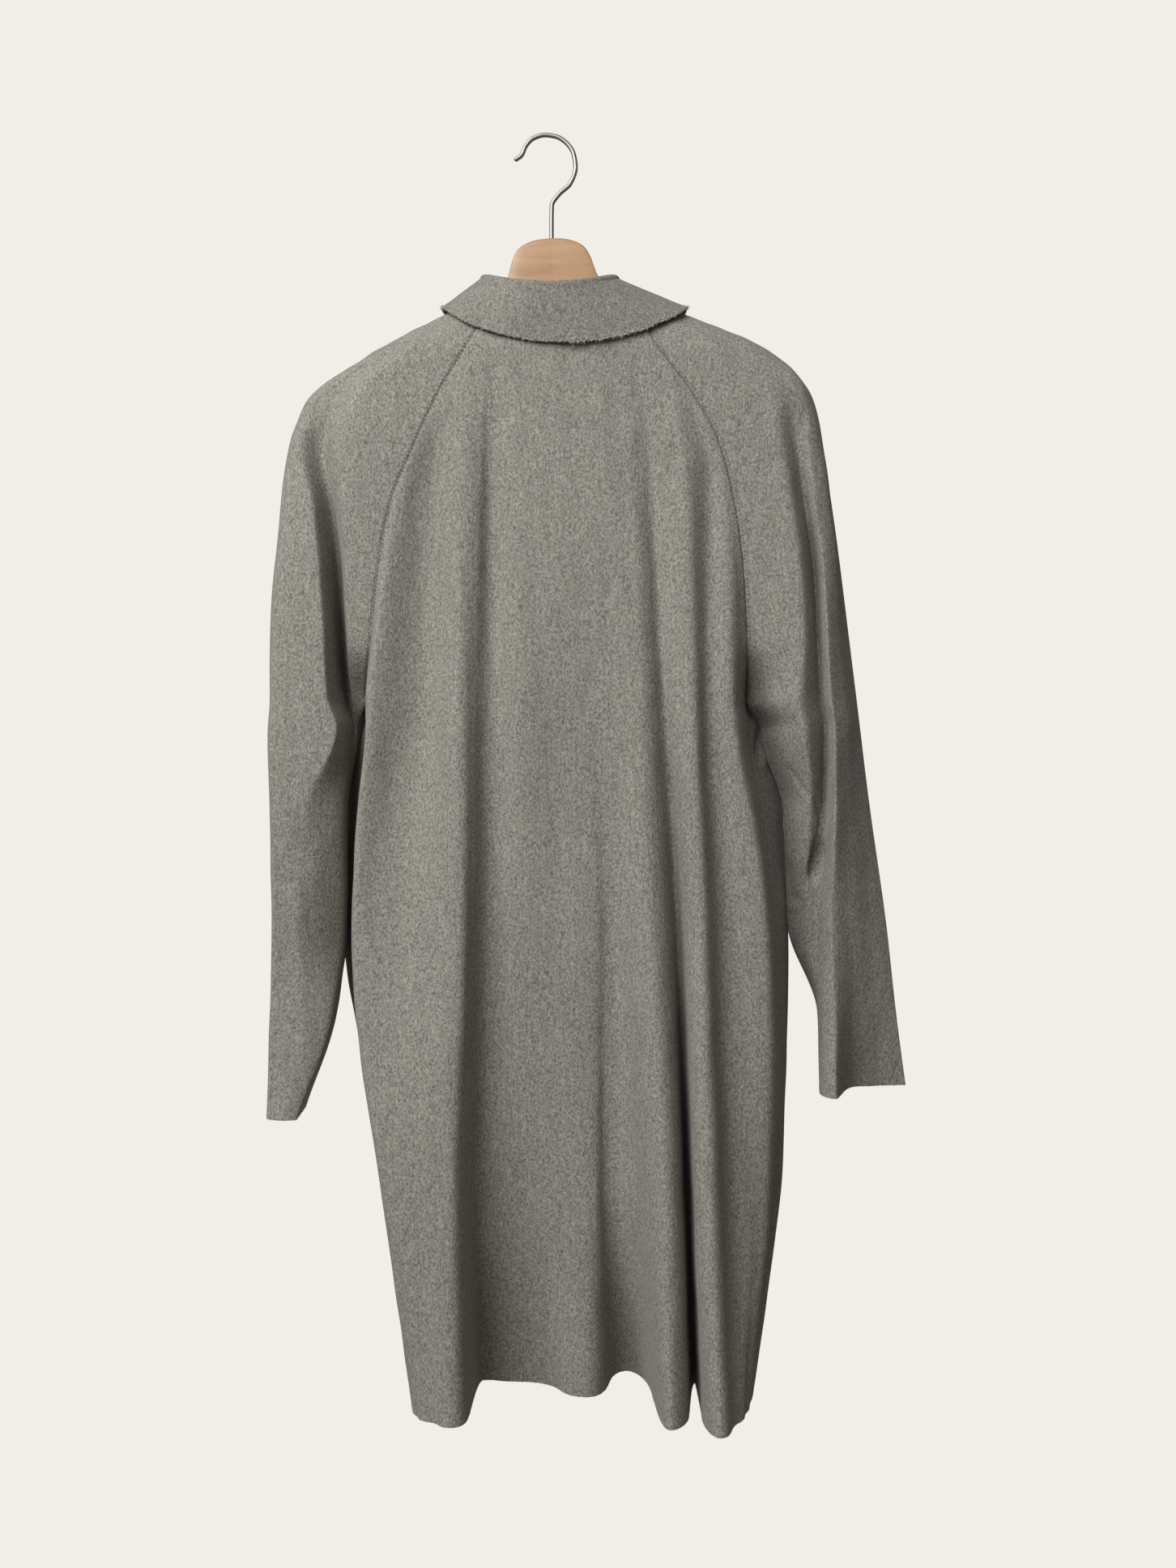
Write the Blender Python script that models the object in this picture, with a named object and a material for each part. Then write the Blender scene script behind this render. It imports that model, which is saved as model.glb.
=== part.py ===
"""A raglan wool coat with a turn-down collar, hung on a wooden hanger with a wire hook.

The back of the coat faces -Y and its front faces +Y. Tables are in millimetres: x runs from the
hanger's middle joint towards +X, drop runs down from the hook's crown, and out is how far a point
stands out behind the hanger, towards -Y. The origin is the inside of the hook's crown.
"""

import math
from collections import namedtuple

import bpy
import numpy as np

MM = 0.001

# Cloth
CLOTH_THICK = 2.0
SEAM_GAP = 0.3
SEAM_RUN = 1.0
FLUTE_FULLNESS = 0.6

# Heights, as drops below the hook's crown
NAPE = 204.0
YOKE = 240.0
BLADE = 320.0
UNDERARM = 505.0
ARMPIT = 530.0
WAIST = 560.0
HIP = 705.0
KNEE = 910.0
HEM = 1098.0
LEFT_CUFF = 862.0
RIGHT_CUFF = 847.0
BACK_LEVELS = (YOKE, BLADE, UNDERARM, HIP, KNEE, HEM)
FRONT_LEVELS = (YOKE, UNDERARM, ARMPIT, WAIST, HIP, KNEE, HEM)

# Neck edge, a ring that dips at the back and more at the front
NECK_MIDDLE = 9.5
NECK_HALF_WIDTH = 86.5
NECK_BACK_OUT = 43.0
NECK_FRONT_OUT = 50.0
NECK_SIDE_DROP = 153.0
NECK_BACK_DROP = 181.0
NECK_FRONT_DROP = 225.0
NAPE_IN = 2.5
BACK_RAGLAN_ANGLE = math.radians(48)
FRONT_RAGLAN_ANGLE = math.radians(129)
FRONT_EDGE_ANGLE = math.radians(178)

# Front opening
FRONT_MIDDLE_NECK = 9.5
FRONT_MIDDLE_HEM = 22.0
FRONT_GAP_NECK = 6.0
FRONT_GAP_HEM = 24.0

# Mesh
UPPER_ROWS = 12
LOWER_ROWS = 11
UPPER_CROWDING = 1.45
LOWER_CROWDING = 1.2
BACK_COLUMNS = 3
FRONT_COLUMNS = 3
SLEEVE_COLUMNS = 3

# Back folds. bend is 1 where the cloth turns at a crest or in a trough, and -1 on the flank between
Fold = namedtuple(
    "Fold",
    "name bend x_yoke x_blade x_underarm x_hip x_knee x_hem"
    " out_yoke out_blade out_underarm out_hip out_knee out_hem",
)
BACK_FOLDS = (
    Fold("left side turn", 1, -91, -124, -152, -166, -137, -111, 47, 50, 55, 54, 82, 88),
    Fold("left hollow", 1, -83, -105, -114, -135, -122, -99, 47, 45, 44, 51, 88, 103),
    Fold("left flute", 1, -70, -74, -77, -75, -83, -78, 50, 57, 69, 80, 97, 115),
    Fold("left flute lip", -1, -59, -60.5, -64, -65, -70.5, -66, 49.5, 54, 62, 68, 80, 95),
    Fold("left trough", 1, -51, -50, -51.5, -53, -57, -59, 48, 47.5, 52, 52, 46, 24),
    Fold("middle rise", 1, -30, -27, -25, -24, -28, -18, 51, 55, 62, 58, 50, 28),
    Fold("middle flute", 1, 8, 12, 21, 32, 31, 32, 52, 57, 63, 61, 57, 58),
    Fold("small trough", 1, 39, 41, 45, 52, 53, 66, 52, 57, 63.5, 56, 47, 4),
    Fold("right flute lip", -1, 50, 54, 61, 68, 76, 87, 51.5, 56.5, 66, 67, 68, 60),
    Fold("right flute", 1, 61, 68, 76, 86, 96, 99, 51, 56, 68, 78, 98, 119),
    Fold("deep trough left lip", -1, 70, 78, 88, 101, 111, 116, 50, 53, 62, 65, 76, 90),
    Fold("deep trough", 1, 78, 86.5, 97, 109, 118.5, 125, 48.5, 50, 54, 47, 30, 30),
    Fold("deep trough right lip", -1, 86, 94, 103.5, 114.5, 120, 126, 50, 53, 61, 64, 79, 90),
    Fold("outer flute", 1, 102, 115, 120, 128, 132, 138, 51, 57, 71, 80, 102, 133),
    Fold("right hollow", 1, 114, 137, 136, 149, 156, 157, 47, 46, 56, 56, 70, 104),
    Fold("right side turn", 1, 117.5, 148, 154, 181, 184, 164, 47, 48.5, 60, 60, 62, 86),
)

# Side seams below the underarm
SideSeam = namedtuple("SideSeam", "drop left_x left_out right_x right_out")
SIDE_SEAMS = (
    SideSeam(ARMPIT, -163, 0, 176, 6),
    SideSeam(601, -170, -4, 186, 12),
    SideSeam(HIP, -176, -8, 200, 14),
    SideSeam(815, -170, -8, 205, 14),
    SideSeam(920, -152, -6, 196, 20),
    SideSeam(1020, -135, -2, 183, 40),
    SideSeam(HEM, -121, 2, 170, 66),
)

# Front folds: share is how far along from the side seam to the front edge, out counts to the front
FrontFold = namedtuple(
    "FrontFold", "name share out_yoke out_underarm out_armpit out_waist out_hip out_knee out_hem"
)
FRONT_FOLDS = (
    FrontFold("side fold", 0.22, 49, 50, 53, 56, 58, 58, 62),
    FrontFold("hip hollow", 0.45, 50, 46, 45, 44, 42, 40, 40),
    FrontFold("front fold", 0.70, 51, 54, 55, 56, 58, 66, 74),
)
FrontTurn = namedtuple(
    "FrontTurn",
    "share_yoke share_underarm share_armpit share_waist share_hip share_knee share_hem"
    " out_yoke out_underarm out_armpit out_waist out_hip out_knee out_hem",
)
LEFT_TURN = FrontTurn(0.08, -0.03, -0.09, -0.135, -0.085, 0.01, 0.01, 47, 24, 32, 38, 38, 28, 22)
RIGHT_TURN = FrontTurn(0.08, -0.035, -0.12, -0.18, -0.08, -0.055, -0.03, 47, 24, 32, 38, 28, 6, -45)
FRONT_EDGE_OUT = (50, 50, 50, 50, 50, 52, 56)

# Outer edge of both sleeves: the shoulder line, then the outside of the arm
OuterEdge = namedtuple("OuterEdge", "drop left_x right_x right_out")
OUTER_EDGES = (
    OuterEdge(169, -107, 135, 0),
    OuterEdge(184, -133, 171, 0),
    OuterEdge(198, -160, 197, 0),
    OuterEdge(212, -186, 216, 0),
    OuterEdge(227, -208, 227, 0),
    OuterEdge(241, -220, 233, 0),
    OuterEdge(256, -226, 236.5, 0),
    OuterEdge(285, -234, 242, 0),
    OuterEdge(342, -241, 251, 0),
    OuterEdge(457, -250, 266, 0),
    OuterEdge(601, -250, 284, 0),
    OuterEdge(705, -248, 299, -4),
    OuterEdge(783, -248, 308, -8),
    OuterEdge(LEFT_CUFF, -249, 319, -12),
)

# Sleeve sections. inner is the raglan seam down to the underarm and the underarm seam below it;
# flap, valley, ridge and step are shares of the way from inner to the outer edge on the back half;
# near and far stand on the front half at fixed shares of the same way.
SleeveSection = namedtuple(
    "SleeveSection",
    "drop inner_x inner_out flap flap_out valley valley_out ridge ridge_out step step_out near_out far_out",
)
LEFT_SLEEVE = (
    SleeveSection(204, -74, 44, 0.49, 40, 0.68, 27, 0.84, 21, 0.93, 14, 39, 20),
    SleeveSection(240, -95, 46, 0.53, 41, 0.74, 25, 0.86, 21, 0.95, 13, 40, 21),
    SleeveSection(285, -116, 47, 0.53, 42, 0.72, 19, 0.86, 28, 0.965, 17, 41, 22),
    SleeveSection(340, -138, 47, 0.38, 43, 0.53, 14, 0.66, 39, 0.94, 27, 42, 26),
    SleeveSection(392, -148, 44, 0.28, 40, 0.40, 8, 0.52, 47, 0.90, 37, 42, 32),
    SleeveSection(457, -156, 34, 0.20, 30, 0.295, -2, 0.40, 52, 0.87, 44, 42, 38),
    SleeveSection(UNDERARM, -164, 10, 0.13, 12, 0.19, -8, 0.31, 53, 0.855, 46, 42, 40),
    SleeveSection(ARMPIT, -172, -6, 0.03, 0, 0.045, -2, 0.13, 53, 0.86, 47, 44, 42),
    SleeveSection(601, -183, -14, -0.03, 2, -0.04, 26, 0.42, 51, 0.88, 46, 46, 42),
    SleeveSection(HIP, -183, -13, -0.02, 2, -0.03, 20, 0.55, 50, 0.88, 48, 48, 44),
    SleeveSection(783, -195, -10, -0.09, 6, -0.13, 42, 0.40, 56, 0.85, 54, 54, 50),
    SleeveSection(LEFT_CUFF, -222, -14, -0.21, 8, -0.30, 62, 0.10, 65, 0.62, 60, 66, 56),
)
RIGHT_SLEEVE = (
    SleeveSection(204, 94, 44, 0.43, 43, 0.62, 40, 0.82, 34, 0.93, 25, 39, 20),
    SleeveSection(240, 121, 46, 0.54, 46, 0.75, 41, 0.87, 38, 0.955, 28, 40, 21),
    SleeveSection(285, 145, 47, 0.50, 49, 0.70, 37, 0.80, 40, 0.93, 31, 41, 23),
    SleeveSection(340, 159, 47, 0.50, 51, 0.68, 29, 0.75, 43, 0.91, 33, 42, 27),
    SleeveSection(392, 166, 44, 0.50, 52, 0.69, 24, 0.74, 47, 0.88, 35, 42, 30),
    SleeveSection(457, 170, 31, 0.48, 51, 0.65, 24, 0.70, 50, 0.82, 37, 42, 33),
    SleeveSection(UNDERARM, 172, 4, 0.41, 49, 0.63, 21, 0.68, 50, 0.81, 37, 42, 36),
    SleeveSection(ARMPIT, 186, -6, 0.27, 43, 0.585, 18, 0.635, 49, 0.80, 35, 42, 38),
    SleeveSection(601, 206.5, -12, 0.25, 22, 0.42, 10, 0.50, 43, 0.68, 27, 42, 38),
    SleeveSection(HIP, 210.5, -10, 0.17, 7, 0.27, 9, 0.37, 36, 0.60, 17, 42, 36),
    SleeveSection(783, 238, -12, -0.03, 8, -0.04, 22, 0.11, 40, 0.39, 8, 42, 36),
    SleeveSection(RIGHT_CUFF, 241, -14, -0.07, 12, -0.10, 32, 0.03, 52, 0.36, -4, 40, 36),
)
NEAR_SHARE = 0.4
FAR_SHARE = 0.8

# Collar: a folded strip between three rings, at the neck edge, the fold and the edge of the fall
Ring = namedtuple(
    "Ring",
    "middle half_width back_out front_out side_drop back_drop front_drop"
    " back_power front_power end_angle",
)
COLLAR_FOLD = Ring(-1.5, 58, 47, 56, 128, 149, 206, 1.5, 1.5, math.radians(172))
COLLAR_EDGE = Ring(12, 108, 65, 84, 157, 203, 262, 1.4, 2.2, math.radians(150))
COLLAR_FOOT = Ring(
    NECK_MIDDLE,
    NECK_HALF_WIDTH,
    NECK_BACK_OUT,
    NECK_FRONT_OUT,
    NECK_SIDE_DROP,
    NECK_BACK_DROP,
    NECK_FRONT_DROP,
    2.0,
    2.0,
    math.radians(172),
)
COLLAR_LIFT = 2.0
COLLAR_FOLD_RADIUS = 3.5
COLLAR_COLUMNS = 28
COLLAR_STAND_STEPS = 2
COLLAR_FOLD_STEPS = 4
COLLAR_FALL_STEPS = 3

# Hanger
ARM_THICK = 13.0
ARM_ROUNDING = 4.0
HANGER_TILT = math.radians(2.5)
HANGER_TILT_DROP = 110.0
ArmSection = namedtuple("ArmSection", "x top bottom")
ARM_SECTIONS = (
    ArmSection(SEAM_GAP / 2, 94, 150),
    ArmSection(12, 95, 151),
    ArmSection(22, 98, 153),
    ArmSection(29.5, 103, 155),
    ArmSection(35, 113, 157),
    ArmSection(39, 126, 159),
    ArmSection(46, 138, 163),
    ArmSection(62, 147, 171),
    ArmSection(100, 166, 190),
    ArmSection(150, 190, 214),
    ArmSection(186, 209, 231),
    ArmSection(198, 219, 230),
)
ARM_CORNER_STEPS = 3

# Hook
WIRE_RADIUS = 2.0
WIRE_SIDES = 8
WIRE_STEPS = 44
CROWN_X = -5.8
CROWN_DROP = 3.1
HookPoint = namedtuple("HookPoint", "x drop")
HOOK_PATH = (
    HookPoint(0.0, 93.5),
    HookPoint(0.0, 78.0),
    HookPoint(0.3, 64.0),
    HookPoint(6.5, 54.0),
    HookPoint(16.5, 44.5),
    HookPoint(21.4, 30.0),
    HookPoint(19.6, 18.0),
    HookPoint(13.0, 8.0),
    HookPoint(3.5, 2.4),
    HookPoint(-5.8, 1.1),
    HookPoint(-16.0, 4.0),
    HookPoint(-23.0, 11.0),
    HookPoint(-26.6, 19.0),
    HookPoint(-33.0, 23.8),
)

WOOL_COLOUR = (0.30, 0.28, 0.25, 1.0)
WOOD_COLOUR = (0.61, 0.38, 0.19, 1.0)
STEEL_COLOUR = (0.60, 0.60, 0.58, 1.0)


def smooth_through(knots, values, places):
    """Values at the places on a curve through the knots that never swings past them."""
    knots = np.asarray(knots, float)
    values = np.asarray(values, float)
    step = np.diff(knots)
    slope = np.diff(values) / step
    tangent = np.zeros_like(values)
    tangent[0] = slope[0]
    tangent[-1] = slope[-1]
    for i in range(1, len(knots) - 1):
        if slope[i - 1] * slope[i] > 0:
            before = 2 * step[i] + step[i - 1]
            after = step[i] + 2 * step[i - 1]
            tangent[i] = (before + after) / (before / slope[i - 1] + after / slope[i])
    span = np.clip(np.searchsorted(knots, places, side="right") - 1, 0, len(step) - 1)
    share = (places - knots[span]) / step[span]
    share = np.clip(share, 0.0, 1.0)
    rise = share * share * (3 - 2 * share)
    lead = share * (1 - share) ** 2 * step[span]
    trail = share * share * (share - 1) * step[span]
    return (
        values[span] * (1 - rise)
        + values[span + 1] * rise
        + tangent[span] * lead
        + tangent[span + 1] * trail
    )


def ring_point(ring, angle):
    """(x, drop, out) on a ring at an angle from the middle of the back, positive to the right."""
    facing = math.cos(angle)
    back = facing >= 0
    out = (ring.back_out if back else ring.front_out) * facing
    lowest = ring.back_drop if back else ring.front_drop
    power = ring.back_power if back else ring.front_power
    drop = ring.side_drop + (lowest - ring.side_drop) * abs(facing) ** power
    return ring.middle + ring.half_width * math.sin(angle), drop, out


class Line:
    """A line down a panel, from the neck edge to the hem or cuff, through (x, drop, out) points."""

    def __init__(self, points):
        self.x, self.drop, self.out = np.array(points, float).T

    def x_at(self, drop):
        return float(smooth_through(self.drop, self.x, np.array([drop]))[0])

    def at(self, steps, end):
        """Points at steps from 0 at the neck through 1 at the underarm to 2 at the end."""
        top = self.drop[0]
        upper = np.clip(steps, 0.0, 1.0) ** UPPER_CROWDING
        lower = np.clip(steps - 1.0, 0.0, 1.0) ** LOWER_CROWDING
        drops = top + (UNDERARM - top) * upper + (end - UNDERARM) * lower
        x = smooth_through(self.drop, self.x, drops)
        out = smooth_through(self.drop, self.out, drops)
        return np.stack([x, drops, out], axis=-1)


def sleeve_sections(side):
    return LEFT_SLEEVE if side < 0 else RIGHT_SLEEVE


def level_run(x, drop, out):
    """Two points that start a new stretch of seam, so that it doesn't depend on the one before."""
    return [(x, drop, out), (x, drop + SEAM_RUN, out)]


def raglan_points(side, facing):
    """The raglan seam from neck to underarm, on the back (facing 1) or the front (facing -1)."""
    angle = side * (BACK_RAGLAN_ANGLE if facing > 0 else FRONT_RAGLAN_ANGLE)
    points = [ring_point(COLLAR_FOOT, angle)]
    for row in sleeve_sections(side):
        if row.drop < UNDERARM:
            points.append((row.inner_x, row.drop, facing * row.inner_out))
        elif row.drop == UNDERARM:
            points += level_run(row.inner_x, row.drop - SEAM_RUN, facing * row.inner_out)
    return points


def body_seam(side, facing):
    """The raglan seam carried on down the side seam to the hem."""
    seam = []
    for row in SIDE_SEAMS:
        if side < 0:
            seam.append((row.left_x, row.drop, row.left_out))
        else:
            seam.append((row.right_x, row.drop, row.right_out))
    return Line(raglan_points(side, facing) + level_run(*seam[0]) + seam[1:])


def sleeve_seam(side, facing):
    """The raglan seam carried on down the underarm seam to the cuff."""
    rows = [row for row in sleeve_sections(side) if row.drop > UNDERARM]
    seam = [(row.inner_x, row.drop, row.inner_out) for row in rows]
    return Line(raglan_points(side, facing) + level_run(*seam[0]) + seam[1:])


def outer_edge(side):
    points = [ring_point(COLLAR_FOOT, side * math.pi / 2)]
    for row in OUTER_EDGES:
        if side < 0:
            points.append((row.left_x, row.drop, 0.0))
        else:
            points.append((row.right_x, row.drop, row.right_out))
    return Line(points)


def back_lines():
    """Lines of the back panel from its left seam to its right seam."""
    left = body_seam(-1, 1)
    right = body_seam(1, 1)
    count = len(BACK_FOLDS) + 1
    lines = [left]
    for i, fold in enumerate(BACK_FOLDS):
        angle = BACK_RAGLAN_ANGLE * (2 * (i + 1) / count - 1)
        share = (fold.x_yoke - left.x_at(YOKE)) / (right.x_at(YOKE) - left.x_at(YOKE))
        nape_x = left.x_at(NAPE) + share * (right.x_at(NAPE) - left.x_at(NAPE))
        nape = (nape_x, NAPE, fold.out_yoke - NAPE_IN)
        xs = fold[2 : 2 + len(BACK_LEVELS)]
        outs = fold[2 + len(BACK_LEVELS) :]
        lines.append(Line([ring_point(COLLAR_FOOT, angle), nape, *zip(xs, BACK_LEVELS, outs)]))
    lines.append(right)
    return lines


def front_edge(side):
    _, drop, out = ring_point(COLLAR_FOOT, side * FRONT_EDGE_ANGLE)
    points = [(FRONT_MIDDLE_NECK + side * FRONT_GAP_NECK / 2, drop, out)]
    for level, depth in zip(FRONT_LEVELS, FRONT_EDGE_OUT):
        share = (level - drop) / (HEM - drop)
        middle = FRONT_MIDDLE_NECK + (FRONT_MIDDLE_HEM - FRONT_MIDDLE_NECK) * share
        gap = FRONT_GAP_NECK + (FRONT_GAP_HEM - FRONT_GAP_NECK) * share
        points.append((middle + side * gap / 2, level, -depth))
    return Line(points)


def front_lines(side):
    """Lines of one front panel from its side seam to its front edge."""
    seam = body_seam(side, -1)
    edge = front_edge(side)
    turn = LEFT_TURN if side < 0 else RIGHT_TURN
    count = len(FRONT_LEVELS)
    rows = [(turn[:count], turn[count:])]
    rows += [((fold.share,) * count, fold[2:]) for fold in FRONT_FOLDS]
    lines = [seam]
    for shares, outs in rows:
        neck_share = max(shares[0], 0.05)
        angle = FRONT_RAGLAN_ANGLE + (FRONT_EDGE_ANGLE - FRONT_RAGLAN_ANGLE) * neck_share
        points = [ring_point(COLLAR_FOOT, side * angle)]
        for level, share, out in zip(FRONT_LEVELS, shares, outs):
            x = seam.x_at(level) + share * (edge.x_at(level) - seam.x_at(level))
            points.append((x, level, -out))
        lines.append(Line(points))
    lines.append(edge)
    return lines


def sleeve_line(side, share_of, out_of, neck_angle):
    """A line down a sleeve at a share of the way from its inner seam to its outer edge."""
    edge = outer_edge(side)
    points = [ring_point(COLLAR_FOOT, side * neck_angle)]
    for row in sleeve_sections(side):
        x = row.inner_x + share_of(row) * (edge.x_at(row.drop) - row.inner_x)
        points.append((x, row.drop, out_of(row)))
    return Line(points)


def sleeve_back_lines(side):
    """Lines of a sleeve's back half from its inner seam to its outer edge."""
    columns = (
        (lambda row: row.flap, lambda row: row.flap_out),
        (lambda row: row.valley, lambda row: row.valley_out),
        (lambda row: row.ridge, lambda row: row.ridge_out),
        (lambda row: row.step, lambda row: row.step_out),
    )
    lines = [sleeve_seam(side, 1)]
    turn = math.pi / 2 - BACK_RAGLAN_ANGLE
    for i, (share_of, out_of) in enumerate(columns):
        angle = BACK_RAGLAN_ANGLE + turn * (i + 1) / (len(columns) + 1)
        lines.append(sleeve_line(side, share_of, out_of, angle))
    lines.append(outer_edge(side))
    return lines


def sleeve_front_lines(side):
    """Lines of a sleeve's front half from its outer edge to its inner seam."""
    columns = (
        (lambda row: FAR_SHARE, lambda row: -row.far_out),
        (lambda row: NEAR_SHARE, lambda row: -row.near_out),
    )
    lines = [outer_edge(side)]
    turn = FRONT_RAGLAN_ANGLE - math.pi / 2
    for i, (share_of, out_of) in enumerate(columns):
        angle = math.pi / 2 + turn * (i + 1) / (len(columns) + 1)
        lines.append(sleeve_line(side, share_of, out_of, angle))
    lines.append(sleeve_seam(side, -1))
    return lines


def across(lines, steps, end, per_fold, bends):
    """A grid of points: a row for each step and per_fold columns from line to line, rounder at bends."""
    points = np.stack([line.at(steps, end) for line in lines], axis=1)
    count = len(lines)
    places = np.linspace(0, count - 1, (count - 1) * per_fold + 1)
    span = np.minimum(places.astype(int), count - 2)
    share = places - span
    bends = np.asarray(bends if bends else np.zeros(count), float)
    one_side = (bends[span] - bends[span + 1]) / 2 * np.sin(math.pi * share) / math.pi
    both_sides = (bends[span] + bends[span + 1]) / 2 * np.sin(2 * math.pi * share) / (2 * math.pi)
    grid = np.empty((len(steps), len(places), 3))
    for i, row in enumerate(points):
        for axis in range(3):
            grid[i, :, axis] = smooth_through(np.arange(count), row[:, axis], places)
        low = np.clip((row[:, 1].mean() - YOKE) / (HEM - YOKE), 0.0, 1.0)
        width = np.diff(row[:, 0])[span]
        grid[i, :, 0] += FLUTE_FULLNESS * low * width * (one_side + both_sides)
    return grid


def to_world(points):
    """Metres from (x, drop, out) in millimetres, with the origin at the inside of the hook's crown."""
    x = points[..., 0] - CROWN_X
    y = -points[..., 2]
    z = CROWN_DROP - points[..., 1]
    return np.stack([x, y, z], axis=-1) * MM


def unit(vectors):
    return vectors / np.linalg.norm(vectors, axis=-1, keepdims=True)


def normals_of(grid):
    """Outward normals of a world grid whose rows run down and whose columns run right, seen from outside."""
    down = np.gradient(grid, axis=0)
    right = np.gradient(grid, axis=1)
    return unit(np.cross(down, right))


class Panel:
    """One cloth panel: its outer face as a world grid and the normals its wall is built along."""

    def __init__(self, name, grid):
        self.name = name
        self.grid = to_world(grid)
        self.normals = normals_of(self.grid)


def join_normals(first, first_column, second, second_column, rows):
    """Gives both sides of a seam the same normal, so that their walls stand side by side."""
    shared = first.normals[rows, first_column] + second.normals[rows, second_column]
    shared = unit(shared)
    first.normals[rows, first_column] = shared
    second.normals[rows, second_column] = shared


def cloth_panels():
    upper = np.linspace(0.0, 1.0, UPPER_ROWS)
    lower = np.linspace(1.0, 2.0, LOWER_ROWS + 1)[1:]
    steps = np.concatenate([upper, lower])
    panels = {}

    def add(name, lines, end, per_fold, bends=None):
        panels[name] = Panel(name, across(lines, steps, end, per_fold, bends))

    bends = [1] + [fold.bend for fold in BACK_FOLDS] + [1]
    add("back", back_lines(), HEM, BACK_COLUMNS, bends)
    add("front_left", front_lines(-1)[::-1], HEM, FRONT_COLUMNS)
    add("front_right", front_lines(1), HEM, FRONT_COLUMNS)
    add("sleeve_left_back", sleeve_back_lines(-1)[::-1], LEFT_CUFF, SLEEVE_COLUMNS)
    add("sleeve_left_front", sleeve_front_lines(-1)[::-1], LEFT_CUFF, SLEEVE_COLUMNS)
    add("sleeve_right_back", sleeve_back_lines(1), RIGHT_CUFF, SLEEVE_COLUMNS)
    add("sleeve_right_front", sleeve_front_lines(1), RIGHT_CUFF, SLEEVE_COLUMNS)

    raglan = slice(0, UPPER_ROWS)
    below = slice(UPPER_ROWS, None)
    whole = slice(None)
    join_normals(panels["back"], 0, panels["sleeve_left_back"], -1, raglan)
    join_normals(panels["back"], -1, panels["sleeve_right_back"], 0, raglan)
    join_normals(panels["front_left"], -1, panels["sleeve_left_front"], 0, raglan)
    join_normals(panels["front_right"], 0, panels["sleeve_right_front"], -1, raglan)
    join_normals(panels["back"], 0, panels["front_left"], -1, below)
    join_normals(panels["back"], -1, panels["front_right"], 0, below)
    join_normals(panels["sleeve_left_back"], -1, panels["sleeve_left_front"], 0, below)
    join_normals(panels["sleeve_right_back"], 0, panels["sleeve_right_front"], -1, below)
    join_normals(panels["sleeve_left_back"], 0, panels["sleeve_left_front"], -1, whole)
    join_normals(panels["sleeve_right_back"], -1, panels["sleeve_right_front"], 0, whole)
    return panels.values()


def wall_mesh(outer, inner):
    """Vertices and faces of a closed wall between two grids of the same shape."""
    rows, columns = outer.shape[:2]
    vertices = np.concatenate([outer.reshape(-1, 3), inner.reshape(-1, 3)])
    index = np.arange(rows * columns).reshape(rows, columns)
    back = index + rows * columns
    faces = []
    for i in range(rows - 1):
        for j in range(columns - 1):
            faces.append((index[i, j], index[i + 1, j], index[i + 1, j + 1], index[i, j + 1]))
            faces.append((back[i, j], back[i, j + 1], back[i + 1, j + 1], back[i + 1, j]))
    around = [(0, j) for j in range(columns - 1)]
    around += [(i, columns - 1) for i in range(rows - 1)]
    around += [(rows - 1, j) for j in range(columns - 1, 0, -1)]
    around += [(i, 0) for i in range(rows - 1, 0, -1)]
    for here, there in zip(around, around[1:] + around[:1]):
        if here[0] <= there[0]:
            faces.append((index[here], index[there], back[there]))
            faces.append((index[here], back[there], back[here]))
        else:
            faces.append((index[here], index[there], back[here]))
            faces.append((index[there], back[there], back[here]))
    return vertices, faces


def add_object(name, vertices, faces, material):
    mesh = bpy.data.meshes.new(name)
    mesh.from_pydata([tuple(v) for v in vertices], [], [tuple(int(i) for i in f) for f in faces])
    mesh.materials.append(material)
    mesh.validate()
    obj = bpy.data.objects.new(name, mesh)
    bpy.context.scene.collection.objects.link(obj)
    return obj


def add_cloth(panel, material):
    """The wall of one panel, drawn in from its seams by half the seam gap."""
    outer = panel.grid.copy()
    for column, neighbour in ((0, 1), (-1, -2)):
        along = unit(np.gradient(panel.grid[:, column], axis=0))
        inwards = panel.grid[:, neighbour] - panel.grid[:, column]
        inwards -= along * (inwards * along).sum(axis=-1, keepdims=True)
        outer[:, column] += unit(inwards) * SEAM_GAP / 2 * MM
    inner = outer - panel.normals * CLOTH_THICK * MM
    vertices, faces = wall_mesh(outer, inner)
    return add_object(panel.name, vertices, faces, material)


def collar_grid():
    """Middle face of the collar: a row for each step over the fold, a column for each step round the neck."""
    grid = []
    for share in np.linspace(-1.0, 1.0, COLLAR_COLUMNS + 1):
        foot = np.array(ring_point(COLLAR_FOOT, share * COLLAR_FOOT.end_angle))
        fold = np.array(ring_point(COLLAR_FOLD, share * COLLAR_FOLD.end_angle))
        edge = np.array(ring_point(COLLAR_EDGE, share * COLLAR_EDGE.end_angle))
        foot[1] -= COLLAR_LIFT
        away = edge - fold
        away[1] = 0.0
        away = away / np.linalg.norm(away)
        up = np.array([0.0, -1.0, 0.0])
        centre = fold - up * COLLAR_FOLD_RADIUS
        turn = np.linspace(math.pi, 0.0, COLLAR_FOLD_STEPS + 1)
        bend = [centre + COLLAR_FOLD_RADIUS * (math.cos(a) * away + math.sin(a) * up) for a in turn]
        stand = [foot + (bend[0] - foot) * s for s in np.linspace(0, 1, COLLAR_STAND_STEPS + 1)[:-1]]
        fall = [bend[-1] + (edge - bend[-1]) * s for s in np.linspace(0, 1, COLLAR_FALL_STEPS + 1)[1:]]
        grid.append(stand + bend + fall)
    return to_world(np.array(grid).transpose(1, 0, 2))


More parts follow.
